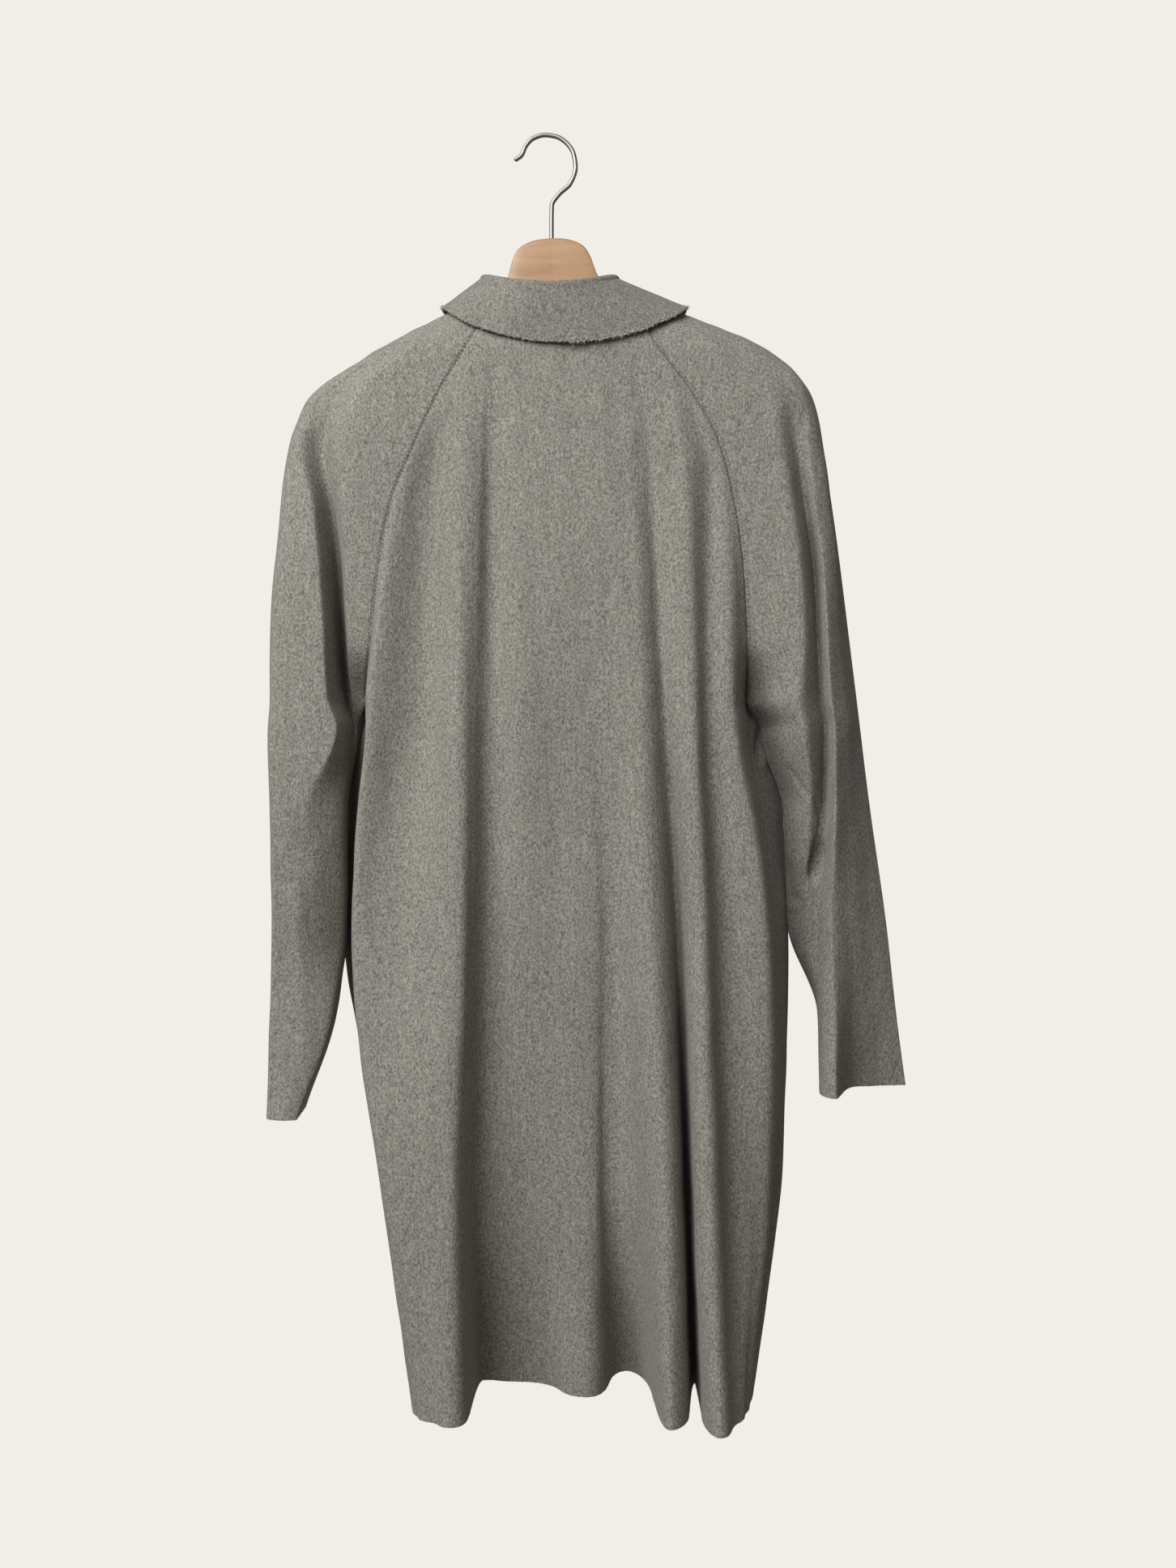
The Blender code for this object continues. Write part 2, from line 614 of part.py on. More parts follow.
def add_collar(material):
    middle = collar_grid()
    normals = normals_of(middle)
    half = normals * CLOTH_THICK / 2 * MM
    vertices, faces = wall_mesh(middle + half, middle - half)
    return add_object("collar", vertices, faces, material)


def closed_loft(rings):
    """Vertices and faces of a solid lofted through rings of equal length, closed by flat ends."""
    count = len(rings[0])
    vertices = np.concatenate(rings)
    faces = []
    for i in range(len(rings) - 1):
        for j in range(count):
            k = (j + 1) % count
            faces.append((i * count + j, i * count + k, (i + 1) * count + k, (i + 1) * count + j))
    last = (len(rings) - 1) * count
    faces.append(tuple(range(count - 1, -1, -1)))
    faces.append(tuple(range(last, last + count)))
    return vertices, faces


def arm_ring(x, top, bottom, side):
    """A rounded upright section of a hanger arm, tilted with the hanger."""
    half_thick = ARM_THICK / 2 - ARM_ROUNDING
    ring = []
    corners = (
        (half_thick, top + ARM_ROUNDING, 0),
        (-half_thick, top + ARM_ROUNDING, 1),
        (-half_thick, bottom - ARM_ROUNDING, 2),
        (half_thick, bottom - ARM_ROUNDING, 3),
    )
    for out, drop, quarter in corners:
        for angle in np.linspace(quarter, quarter + 1, ARM_CORNER_STEPS + 1) * math.pi / 2:
            ring.append((side * x, drop - ARM_ROUNDING * math.sin(angle), out + ARM_ROUNDING * math.cos(angle)))
    ring = np.array(ring)
    below = ring[:, 1] - HANGER_TILT_DROP
    across_x = ring[:, 0].copy()
    ring[:, 0] = across_x * math.cos(HANGER_TILT) + below * math.sin(HANGER_TILT)
    ring[:, 1] = HANGER_TILT_DROP + below * math.cos(HANGER_TILT) - across_x * math.sin(HANGER_TILT)
    return to_world(ring)


def add_arm(name, side, material):
    rings = [arm_ring(row.x, row.top, row.bottom, side) for row in ARM_SECTIONS]
    vertices, faces = closed_loft(rings if side < 0 else rings[::-1])
    return add_object(name, vertices, faces, material)


def add_hook(material):
    """A round wire swept along the hook's path, which lies in the plane of the hanger."""
    points = np.array(HOOK_PATH)
    lengths = np.concatenate([[0.0], np.cumsum(np.linalg.norm(np.diff(points, axis=0), axis=1))])
    places = np.linspace(0.0, lengths[-1], WIRE_STEPS + 1)
    path = np.stack([smooth_through(lengths, points[:, axis], places) for axis in range(2)], axis=1)
    along = unit(np.gradient(path, axis=0))
    angles = np.linspace(0.0, 2 * math.pi, WIRE_SIDES, endpoint=False)
    rings = []
    for centre, direction in zip(path, along):
        sideways = np.array([-direction[1], direction[0]])
        ring = []
        for angle in angles:
            flat = centre + WIRE_RADIUS * math.cos(angle) * sideways
            ring.append((flat[0], flat[1], WIRE_RADIUS * math.sin(angle)))
        rings.append(to_world(np.array(ring)))
    vertices, faces = closed_loft(rings[::-1])
    return add_object("hanger_hook", vertices, faces, material)


def material_of(name, colour, roughness, metallic):
    material = bpy.data.materials.new(name)
    material.use_nodes = True
    shader = material.node_tree.nodes["Principled BSDF"]
    shader.inputs["Base Color"].default_value = colour
    shader.inputs["Roughness"].default_value = roughness
    shader.inputs["Metallic"].default_value = metallic
    return material


def main():
    for obj in list(bpy.data.objects):
        bpy.data.objects.remove(obj)
    wool = material_of("wool", WOOL_COLOUR, 0.95, 0.0)
    wood = material_of("wood", WOOD_COLOUR, 0.45, 0.0)
    steel = material_of("steel", STEEL_COLOUR, 0.25, 1.0)
    for panel in cloth_panels():
        add_cloth(panel, wool)
    add_collar(wool)
    add_arm("hanger_arm_left", -1, wood)
    add_arm("hanger_arm_right", 1, wood)
    add_hook(steel)


if __name__ == "__main__":
    main()
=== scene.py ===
"""A raglan wool coat on a wooden hanger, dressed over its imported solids.

The cloth shells run through nearly the same sections as the solids, fitted a few millimetres closer to the
photo, at a finer spacing, with creases, rolled seams, topstitching and frayed raw edges. Tables are in
millimetres: x runs from the hanger's middle joint towards +X, drop runs down from the hook's crown, and out
stands out behind the hanger, towards -Y.
"""

import math
from collections import namedtuple

import bpy
import numpy as np
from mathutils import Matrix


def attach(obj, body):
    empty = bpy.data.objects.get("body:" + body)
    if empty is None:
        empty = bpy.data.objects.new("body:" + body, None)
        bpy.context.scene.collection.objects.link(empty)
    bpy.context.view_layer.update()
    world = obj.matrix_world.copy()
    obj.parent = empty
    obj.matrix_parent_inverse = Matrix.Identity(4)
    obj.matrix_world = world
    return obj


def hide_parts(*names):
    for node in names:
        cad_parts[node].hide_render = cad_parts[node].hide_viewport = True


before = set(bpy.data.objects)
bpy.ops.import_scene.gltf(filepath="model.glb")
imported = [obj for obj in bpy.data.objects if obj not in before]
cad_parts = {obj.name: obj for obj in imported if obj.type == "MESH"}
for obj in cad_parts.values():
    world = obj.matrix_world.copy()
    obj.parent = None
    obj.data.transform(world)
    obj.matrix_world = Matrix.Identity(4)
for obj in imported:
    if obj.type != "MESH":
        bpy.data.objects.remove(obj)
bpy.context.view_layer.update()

bl_info = {
    "name": "Raglan wool coat",
    "version": (1, 0, 0),
    "blender": (4, 5, 0),
    "location": "View3D > Sidebar > Coat",
    "description": "Builds the cloth, stitching, frayed edges and hanger of a hanging raglan coat",
    "category": "Object",
}

MM = 0.001
BODY = "root"

# Heights, as drops below the hook's crown
NAPE = 204.0
YOKE = 240.0
BLADE = 320.0
UNDERARM = 505.0
ARMPIT = 530.0
WAIST = 560.0
HIP = 705.0
KNEE = 910.0
HEM = 1098.0
LEFT_CUFF = 862.0
RIGHT_CUFF = 847.0
BACK_LEVELS = (YOKE, BLADE, UNDERARM, HIP, KNEE, HEM)
FRONT_LEVELS = (YOKE, UNDERARM, ARMPIT, WAIST, HIP, KNEE, HEM)

# Neck edge and the seams that start from it
NECK_MIDDLE = 9.5
NECK_HALF_WIDTH = 86.5
NECK_BACK_OUT = 43.0
NECK_FRONT_OUT = 50.0
NECK_SIDE_DROP = 153.0
NECK_BACK_DROP = 181.0
NECK_FRONT_DROP = 225.0
NAPE_OUT = 46.0
NAPE_RISE = 4.5
BACK_RAGLAN_ANGLE = math.radians(48)
FRONT_RAGLAN_ANGLE = math.radians(129)
FRONT_EDGE_ANGLE = math.radians(178)
SEAM_RUN = 1.0
FLUTE_FULLNESS = 0.6

# Front opening
FRONT_MIDDLE_NECK = 9.5
FRONT_MIDDLE_HEM = 22.0
FRONT_GAP_NECK = 6.0
FRONT_GAP_HEM = 24.0

# Mesh
UPPER_ROWS = 90
LOWER_ROWS = 110
UPPER_CROWDING = 1.45
LOWER_CROWDING = 1.2
BACK_COLUMNS = 9
FRONT_COLUMNS = 16
SLEEVE_COLUMNS = 18
SEAM_COLUMNS = (0.02, 0.04, 0.065, 0.095, 0.14)
SHARP_ANGLE = math.radians(70)
# A thread that climbs by more than this share of its run takes its sides from x instead of z
UPRIGHT = 0.8

# Seams: two panels, the column of each that is sewn to the other, and the rows over which it is
Seam = namedtuple("Seam", "first first_column second second_column rows")
RAGLAN = slice(0, UPPER_ROWS)
BELOW = slice(UPPER_ROWS, None)
WHOLE = slice(None)
SEAMS = (
    Seam("back", 0, "sleeve_left_back", -1, RAGLAN),
    Seam("back", -1, "sleeve_right_back", 0, RAGLAN),
    Seam("front_left", -1, "sleeve_left_front", 0, RAGLAN),
    Seam("front_right", 0, "sleeve_right_front", -1, RAGLAN),
    Seam("back", 0, "front_left", -1, BELOW),
    Seam("back", -1, "front_right", 0, BELOW),
    Seam("sleeve_left_back", -1, "sleeve_left_front", 0, BELOW),
    Seam("sleeve_right_back", 0, "sleeve_right_front", -1, BELOW),
    Seam("sleeve_left_back", 0, "sleeve_left_front", -1, WHOLE),
    Seam("sleeve_right_back", -1, "sleeve_right_front", 0, WHOLE),
)

# Back folds. bend is 1 where the cloth turns at a crest or in a trough, and -1 on the flank between
Fold = namedtuple(
    "Fold",
    "name bend x_yoke x_blade x_underarm x_hip x_knee x_hem"
    " out_yoke out_blade out_underarm out_hip out_knee out_hem",
)
BACK_FOLDS = (
    Fold("left side turn", 1, -91, -124, -152, -165, -136, -111, 47.5, 50, 56, 60, 88, 90),
    Fold("left hollow", 1, -83, -103, -110, -133, -121, -99, 48.8, 44.5, 41, 59, 93, 104),
    Fold("left flute", 1, -70, -74, -77, -75, -83, -78, 50.3, 57, 69, 80, 97, 115),
    Fold("left flute lip", -1, -59, -60.5, -64, -65, -70.5, -66, 50, 54, 62, 68, 80, 95),
    Fold("left trough", 1, -51, -49.5, -50, -51, -57, -59, 49.3, 47.5, 51, 51, 46, 24),
    Fold("middle rise", 1, -30, -25, -20, -16, -26, -18, 51, 55, 62, 58, 50, 28),
    Fold("middle flute", 1, 8, 12, 21, 32, 31, 32, 52, 57, 63, 61, 57, 58),
    Fold("small trough", 1, 39, 41, 45, 51.8, 53, 66, 52, 57, 63.5, 56, 47, 4),
    Fold("right flute lip", -1, 50, 54, 61, 68, 76, 87, 51.5, 56.5, 66, 67, 68, 60),
    Fold("right flute", 1, 61, 68, 76, 86, 96, 99, 51, 56, 68, 78, 98, 119),
    Fold("deep trough left lip", -1, 70, 78, 88, 101, 111, 116, 50.4, 53, 62, 65, 76, 90),
    Fold("deep trough", 1, 78, 86.5, 97, 109, 118.5, 125, 49.6, 50, 54, 47, 30, 30),
    Fold("deep trough right lip", -1, 86, 94, 103.5, 114.5, 120, 126, 50, 53, 61, 64, 79, 90),
    Fold("outer flute", 1, 102, 115, 120, 128, 132, 138, 50.2, 57, 71, 80, 102, 133),
    Fold("right hollow", 1, 114, 137, 136, 149, 156, 157, 48.6, 46, 56, 56, 70, 104),
    Fold("right side turn", 1, 117.5, 148, 154, 181, 184, 164, 47.8, 48.5, 60, 60, 62, 86),
)

# Side seams below the underarm
SideSeam = namedtuple("SideSeam", "drop left_x left_out right_x right_out")
SIDE_SEAMS = (
    SideSeam(ARMPIT, -163, 0, 176, 6),
    SideSeam(601, -170, -4, 186, 12),
    SideSeam(HIP, -176, -8, 200, 14),
    SideSeam(815, -170, -8, 205, 14),
    SideSeam(920, -152, -6, 196, 20),
    SideSeam(1020, -135, -2, 183, 40),
    SideSeam(HEM, -121, 2, 170, 66),
)

# Front folds: share is how far along from the side seam to the front edge, out counts to the front
FrontFold = namedtuple(
    "FrontFold", "name share out_yoke out_underarm out_armpit out_waist out_hip out_knee out_hem"
)
FRONT_FOLDS = (
    FrontFold("side fold", 0.22, 49, 50, 53, 56, 58, 58, 62),
    FrontFold("hip hollow", 0.45, 50, 46, 45, 44, 42, 40, 40),
    FrontFold("front fold", 0.70, 51, 54, 55, 56, 58, 66, 74),
)
FrontTurn = namedtuple(
    "FrontTurn",
    "share_yoke share_underarm share_armpit share_waist share_hip share_knee share_hem"
    " out_yoke out_underarm out_armpit out_waist out_hip out_knee out_hem",
)
LEFT_TURN = FrontTurn(0.08, -0.03, -0.09, -0.135, -0.085, 0.01, 0.01, 47, 24, 32, 38, 38, 28, 22)
RIGHT_TURN = FrontTurn(0.08, -0.035, -0.12, -0.18, -0.08, -0.055, -0.03, 47, 24, 32, 38, 28, 6, -45)
FRONT_EDGE_OUT = (50, 50, 50, 50, 50, 52, 56)

# Outer edge of both sleeves: the shoulder line, then the outside of the arm
OuterEdge = namedtuple("OuterEdge", "drop left_x right_x right_out")
OUTER_EDGES = (
    OuterEdge(169, -107, 135, 0),
    OuterEdge(184, -133, 171, 0),
    OuterEdge(198, -160, 197, 0),
    OuterEdge(212, -186, 216, 0),
    OuterEdge(227, -208, 227, 0),
    OuterEdge(241, -220, 233, 0),
    OuterEdge(256, -226, 236.5, 0),
    OuterEdge(285, -234, 242, 0),
    OuterEdge(342, -241, 251, 0),
    OuterEdge(457, -250, 266, 0),
    OuterEdge(601, -250, 284, 0),
    OuterEdge(705, -248, 299, -2),
    OuterEdge(783, -248, 308, -4),
    OuterEdge(LEFT_CUFF, -249, 319, -7),
)

# Sleeve sections. inner is the raglan seam down to the underarm and the underarm seam below it;
# flap, valley, ridge and step are shares of the way from inner to the outer edge on the back half;
# near and far stand on the front half at fixed shares of the same way.
SleeveSection = namedtuple(
    "SleeveSection",
    "drop inner_x inner_out flap flap_out valley valley_out ridge ridge_out step step_out near_out far_out",
)
LEFT_SLEEVE = (
    SleeveSection(204, -74, 44, 0.49, 40, 0.68, 27, 0.84, 21, 0.93, 14, 39, 20),
    SleeveSection(240, -95, 46, 0.53, 41, 0.74, 25, 0.86, 21, 0.95, 13, 40, 21),
    SleeveSection(285, -116, 47, 0.53, 42, 0.72, 19, 0.86, 28, 0.965, 17, 41, 22),
    SleeveSection(340, -138, 47, 0.38, 43, 0.53, 14, 0.66, 39, 0.94, 27, 42, 26),
    SleeveSection(392, -148, 44, 0.28, 40, 0.40, 8, 0.52, 47, 0.90, 37, 42, 32),
    SleeveSection(457, -156, 36, 0.20, 33, 0.295, 0, 0.40, 52, 0.87, 44, 42, 38),
    SleeveSection(UNDERARM, -164, 10, 0.13, 11, 0.19, -8, 0.31, 53, 0.855, 46, 42, 40),
    SleeveSection(ARMPIT, -172, -6, 0.03, 0, 0.045, -2, 0.13, 53, 0.86, 47, 44, 42),
    SleeveSection(601, -183, -14, -0.03, 2, -0.04, 26, 0.42, 51, 0.80, 49, 46, 42),
    SleeveSection(HIP, -183, -13, -0.02, 2, -0.03, 20, 0.52, 50, 0.80, 50, 48, 44),
    SleeveSection(783, -195, -10, -0.09, 6, -0.13, 44, 0.38, 56, 0.78, 55, 54, 50),
    SleeveSection(LEFT_CUFF, -222, -14, -0.21, 8, -0.30, 62, 0.10, 65, 0.62, 60, 66, 56),
)
RIGHT_SLEEVE = (
    SleeveSection(204, 94, 44, 0.43, 42, 0.62, 38, 0.82, 32, 0.92, 22, 39, 20),
    SleeveSection(240, 121, 46, 0.54, 46, 0.75, 42, 0.87, 38, 0.945, 26, 40, 21),
    SleeveSection(285, 145, 47, 0.50, 49, 0.70, 37, 0.80, 40, 0.93, 31, 41, 23),
    SleeveSection(340, 159, 47, 0.50, 51, 0.68, 29, 0.75, 43, 0.91, 33, 42, 27),
    SleeveSection(392, 166, 44, 0.50, 52, 0.69, 24, 0.74, 47, 0.88, 35, 42, 30),
    SleeveSection(457, 170, 37, 0.48, 51, 0.65, 26, 0.70, 50, 0.82, 38, 42, 33),
    SleeveSection(UNDERARM, 172, 6, 0.41, 49, 0.63, 23, 0.68, 50, 0.81, 38, 42, 36),
    SleeveSection(ARMPIT, 186, -6, 0.36, 46, 0.60, 20, 0.645, 49, 0.80, 36, 42, 38),
    SleeveSection(601, 206.5, -12, 0.26, 24, 0.43, 10, 0.50, 42, 0.68, 28, 42, 38),
    SleeveSection(HIP, 210.5, -10, 0.17, 7, 0.27, 9, 0.37, 34, 0.60, 22, 42, 36),
    SleeveSection(783, 238, -12, -0.03, 8, -0.04, 20, 0.11, 37, 0.39, 16, 42, 36),
    SleeveSection(RIGHT_CUFF, 241, -14, -0.07, 12, -0.10, 32, 0.03, 50, 0.36, 2, 40, 36),
)
NEAR_SHARE = 0.4
FAR_SHARE = 0.8

# Collar: a folded strip between three rings, at the neck edge, the fold and the edge of the fall
Ring = namedtuple(
    "Ring",
    "middle half_width back_out front_out side_drop back_drop front_drop"
    " back_power front_power flatness end_angle",
)
COLLAR_FOLD = Ring(-1.5, 58, 50, 56, 128, 149.5, 206, 1.5, 1.5, 1.0, math.radians(172))
COLLAR_EDGE = Ring(12, 108, 54.5, 84, 156.5, 201.5, 262, 1.4, 2.2, 0.7, math.radians(150))
COLLAR_FOOT = Ring(
    NECK_MIDDLE,
    NECK_HALF_WIDTH,
    NECK_BACK_OUT,
    NECK_FRONT_OUT,
    NECK_SIDE_DROP,
    NECK_BACK_DROP,
    NECK_FRONT_DROP,
    2.0,
    2.0,
    1.0,
    math.radians(172),
)
COLLAR_LIFT = 2.0
COLLAR_FOLD_RADIUS = 3.5
COLLAR_COLUMNS = 260
COLLAR_STAND_STEPS = 10
COLLAR_FOLD_STEPS = 10
COLLAR_FALL_STEPS = 24
COLLAR_BELLY = 1.6
COLLAR_WAVE = 0.9
COLLAR_WAVE_RATE = 17
COLLAR_RIPPLE = 0.6
COLLAR_RIPPLE_RATE = 31
COLLAR_RIPPLE_START = 1.0
# Painted shade: the collar's wool is darkened to this share of the cloth's colour, for the shade that falls
# on the collar
COLLAR_PAINTED_SHADE = 0.88

# Creases: a path of (x, drop) points on one panel, raised or sunk by depth over a width either side;
# fade is the share of the path over which each end dies away
Crease = namedtuple("Crease", "panel name depth width fade path")
CREASES = (
    Crease("back", "shoulder blade ripple", 1.6, 13, 0.5, ((-30, 330), (-22, 520), (-18, 700))),
    Crease("back", "middle ripple", -1.8, 11, 0.5, ((10, 420), (6, 640), (4, 860))),
    Crease("back", "waist ripple", 1.5, 9, 0.5, ((50, 520), (54, 640), (56, 760))),
    Crease("back", "hem ripple", -2.2, 12, 0.5, ((4, 900), (8, 1010), (10, 1120))),
    Crease("back", "left ripple", 1.8, 10, 0.5, ((-104, 560), (-112, 760), (-108, 930))),
    Crease("front_left", "underarm drag", -3.0, 12, 0.5, ((-60, 260), (-110, 400), (-140, 520))),
    Crease("front_left", "yoke fold", 3.0, 14, 0.5, ((-40, 300), (-52, 620), (-48, 980))),
    Crease("front_left", "hem ripple", 4.0, 16, 0.5, ((-80, 760), (-76, 1000), (-70, 1130))),
    Crease("front_right", "underarm drag", -3.5, 11, 0.5, ((85, 260), (128, 390), (150, 530))),
    Crease("front_right", "yoke fold", 2.6, 15, 0.5, ((62, 320), (80, 700), (86, 1000))),
    Crease("front_right", "hem ripple", 3.5, 14, 0.5, ((120, 720), (128, 960), (130, 1130))),
    Crease(
        "sleeve_left_back",
        "overarm seam ridge",
        0.9,
        1.8,
        0.12,
        ((-134, 195), (-164, 212), (-199, 237), (-219, 258)),
    ),
    Crease("sleeve_left_back", "elbow hollow", -2.5, 14, 0.5, ((-205, 590), (-214, 640), (-226, 690))),
    Crease("sleeve_left_front", "elbow fold", -3.0, 8, 0.5, ((-190, 600), (-215, 628), (-240, 640))),
    Crease("sleeve_left_front", "forearm fold", 2.5, 9, 0.5, ((-200, 700), (-222, 690), (-242, 670))),
    Crease("sleeve_right_front", "elbow fold", -3.0, 8, 0.5, ((222, 590), (245, 622), (274, 640))),
    Crease("sleeve_right_front", "forearm fold", 2.5, 9, 0.5, ((236, 720), (258, 704), (286, 690))),
    Crease(
        "sleeve_right_back",
        "underarm seam",
        -1.8,
        1.5,
        0.06,
        (
            (206, 560),
            (215, 575),
            (222, 585),
            (232, 595),
            (237, 606),
            (236, 618),
            (230, 639),
            (225, 657),
            (223, 675),
        ),
    ),
    Crease("sleeve_right_back", "underarm bulge", 4.0, 9, 0.35, ((212, 585), (215, 630), (213, 668))),
    Crease("sleeve_right_back", "fold under the bulge", -3.0, 3, 0.3, ((206, 676), (214, 681), (222, 677))),
    Crease("sleeve_right_back", "hollow by the ridge", -9.0, 5, 0.4, ((237, 622), (233, 648), (228, 672))),
    Crease("front_right", "underarm fold", 3.5, 4, 0.4, ((199, 524), (192, 548), (185, 572))),
    Crease("front_right", "underarm tuck", -3.5, 3.5, 0.4, ((190, 518), (184, 545), (180, 570))),
)
# Creases die away this near to a panel's edges
CREASE_EDGE = 6.0
# Unevenness of the cloth: slow ripples that wander, quick ones at a slant, and a drift down the panel
UNEVEN_HEIGHT = 0.6
UNEVEN_ACROSS = 34.0
UNEVEN_DOWN = 95.0
SLOW_SHARE = 0.55
SLOW_WANDER = 0.35
SLOW_WANDER_RATE = 2.3
QUICK_SHARE = 0.3
QUICK_RATE = 1.7
QUICK_SLANT = 0.4
QUICK_PHASE = 2.1
DRIFT_SHARE = 0.25
DRIFT_RATE = 0.8
DRIFT_PHASE = 1.3
# Seam edges roll in by a depth over a width
SEAM_ROLL_DEPTH = 0.6
SEAM_ROLL_WIDTH = 1.1

# Sheets: the size each panel is cut to, and the area of its cut
Cut = namedtuple("Cut", "node width length area")

# Topstitching: rows of stitches on a panel, set in from the seam at its first or last column
StitchRow = namedtuple("StitchRow", "panel column")
STITCH_ROWS = (
    StitchRow("back", 0),
    StitchRow("sleeve_left_back", -1),
    StitchRow("back", -1),
    StitchRow("sleeve_right_back", 0),
    StitchRow("front_left", -1),
    StitchRow("sleeve_left_front", 0),
    StitchRow("front_right", 0),
    StitchRow("sleeve_right_front", -1),
)
STITCH_INSET = 1.9
STITCH_ARCH = 0.35
STITCH_SINK = 0.25
THREAD_RADIUS = 0.26
THREAD_SIDES = 5
THREAD_STEPS = 5

# Fray: fibres along the raw edges, thinner at the tip, and lighter than the cloth by the factor below: the
# fuzz's own paleness and painted light for the light it catches
FIBRE_RADIUS = 0.15
YARN_RADIUS = 0.3
FIBRE_TIP = 0.35
FIBRE_PALENESS_AND_PAINTED_LIGHT = 2.3
FIBRE_SIDES = 3
FIBRE_STEPS = 3
FRAY_SEED = 11
# How a fibre lies: strays from its place as a share of the spacing, and leans as shares of its length
FIBRE_STRAY = 0.5
FIBRE_SIDEWAYS = 0.55
FIBRE_OUTWARDS = 0.8
FIBRE_OUTWARDS_SPREAD = 0.4
FIBRE_CURL = 0.35
# How deep in the wall and how far up from the edge a fibre starts
FIBRE_DEPTH = 0.8
FIBRE_ROOT = 0.5
# Lengths: a stub, and more by chance, most of it short
FIBRE_STUB = 0.5
FIBRE_SHORTEST = 0.35
FIBRE_SHORTNESS = 1.5
# Hem and cuffs, with the spacing of the fibres and their share of the fray's length
FrayEdge = namedtuple("FrayEdge", "panel spacing")
FRAY_EDGES = (
    FrayEdge("back", 1.1),
    FrayEdge("front_left", 1.3),
    FrayEdge("front_right", 1.3),
    FrayEdge("sleeve_left_back", 1.2),
    FrayEdge("sleeve_left_front", 1.4),
    FrayEdge("sleeve_right_back", 1.2),
    FrayEdge("sleeve_right_front", 1.4),
)
FRAY_SHARE = 0.33
# Rows of the collar's fray, as grid rows up from its edge
CollarFray = namedtuple("CollarFray", "row spacing share")
COLLAR_FRAY = (
    CollarFray(0, 0.25, 0.55),
    CollarFray(1, 0.8, 0.6),
)
# Stretches of the collar's edge where the fibres are longer: where, how far either side and how much
Tuft = namedtuple("Tuft", "x spread more")
TUFTS = (
    Tuft(62.0, 34.0, 1.0),
    Tuft(22.0, 7.0, 1.4),
)

# Hanger
ARM_THICK = 13.0
ARM_ROUNDING = 4.0
HANGER_TILT = math.radians(2.5)
HANGER_TILT_DROP = 110.0
ARM_JOINT = 0.03
ArmSection = namedtuple("ArmSection", "x top bottom")
ARM_SECTIONS = (
    ArmSection(ARM_JOINT, 94, 150),
    ArmSection(12, 95, 151),
    ArmSection(22, 98, 153),
    ArmSection(29.5, 103, 155),
    ArmSection(35, 113, 157),
    ArmSection(39, 126, 159),
    ArmSection(46, 138, 163),
    ArmSection(62, 147, 171),
    ArmSection(100, 166, 190),
    ArmSection(150, 190, 214),
    ArmSection(186, 209, 231),
    ArmSection(198, 219, 230),
)
ARM_RINGS = 90
ARM_CROWDING = 1.4
ARM_CORNER_STEPS = 8

# Hook
WIRE_RADIUS = 2.0
WIRE_SIDES = 20
WIRE_STEPS = 220
TIP_STEPS = 8
CROWN_X = -5.8
CROWN_DROP = 3.1
HookPoint = namedtuple("HookPoint", "x drop")
HOOK_PATH = (
    HookPoint(0.0, 95.5),
    HookPoint(0.0, 78.0),
    HookPoint(0.3, 64.0),
    HookPoint(6.5, 54.0),
    HookPoint(16.5, 44.5),
    HookPoint(21.4, 30.0),
    HookPoint(19.6, 18.0),
    HookPoint(13.0, 8.0),
    HookPoint(3.5, 2.4),
    HookPoint(-5.8, 1.1),
    HookPoint(-16.0, 4.0),
    HookPoint(-23.0, 11.0),
    HookPoint(-26.6, 19.0),
    HookPoint(-33.0, 23.8),
)

# Patterns in the finishes: noise in object space, and what its values from low to high become
Noise = namedtuple("Noise", "stretch scale detail roughness")
WOOL_FIBRES = Noise((1.0, 1.0, 0.7), 620.0, 2.0, 0.6)
WOOL_STREAKS = Noise((1.0, 1.0, 0.12), 420.0, 1.0, 0.55)
WOOL_SPECKS = Noise((1.0, 1.0, 0.7), 330.0, 1.0, 0.55)
WOOL_PATCHES = Noise((1.0, 1.0, 0.6), 11.0, 2.0, 0.55)
WOOD_RINGS = Noise((9.0, 60.0, 60.0), 2.2, 3.0, 0.55)
WOOD_PORES = Noise((40.0, 900.0, 900.0), 1.4, 2.0, 0.55)
STEEL_MARKS = Noise((2500.0, 2500.0, 60.0), 1.0, 2.0, 0.55)
UNTURNED = (0.0, 0.0, 0.0)
GRAIN_SLANT = (0.0, math.radians(24), 0.0)
Range = namedtuple("Range", "low high to_low to_high")
FIBRE_BLEND = Range(0.30, 0.70, 0.0, 1.0)
STREAK_TONE = Range(0.25, 0.75, 0.90, 1.10)
SPECK_BLEND = Range(0.72, 0.80, 0.0, 0.6)
PATCH_TONE = Range(0.3, 0.7, 0.955, 1.045)
RING_BLEND = Range(0.35, 0.65, 0.0, 1.0)
PORE_BLEND = Range(0.60, 0.75, 0.0, 0.45)
WOOL_ROUGHNESS = Range(0.3, 0.7, 0.86, 1.0)
WOOD_ROUGHNESS = Range(0.3, 0.7, 0.36, 0.5)
STEEL_ROUGHNESS = Range(0.3, 0.7, 0.46, 0.50)

# Finishes
Bump = namedtuple("Bump", "strength height")
WOOL_BUMP = Bump(0.5, 0.0007)
THREAD_BUMP = Bump(0.3, 0.0002)
WOOD_BUMP = Bump(0.15, 0.0003)
THREAD_LIFT = 1.5
WOOL_FINISH = {"Specular IOR Level": 0.15, "Sheen Weight": 0.12, "Sheen Roughness": 0.5}
WOOD_FINISH = {"Coat Weight": 0.25, "Coat Roughness": 0.25}
STEEL_FINISH = {"Metallic": 1.0}
BACKDROP_FINISH = {"Base Color": (0.0, 0.0, 0.0, 1.0), "Specular IOR Level": 0.0}

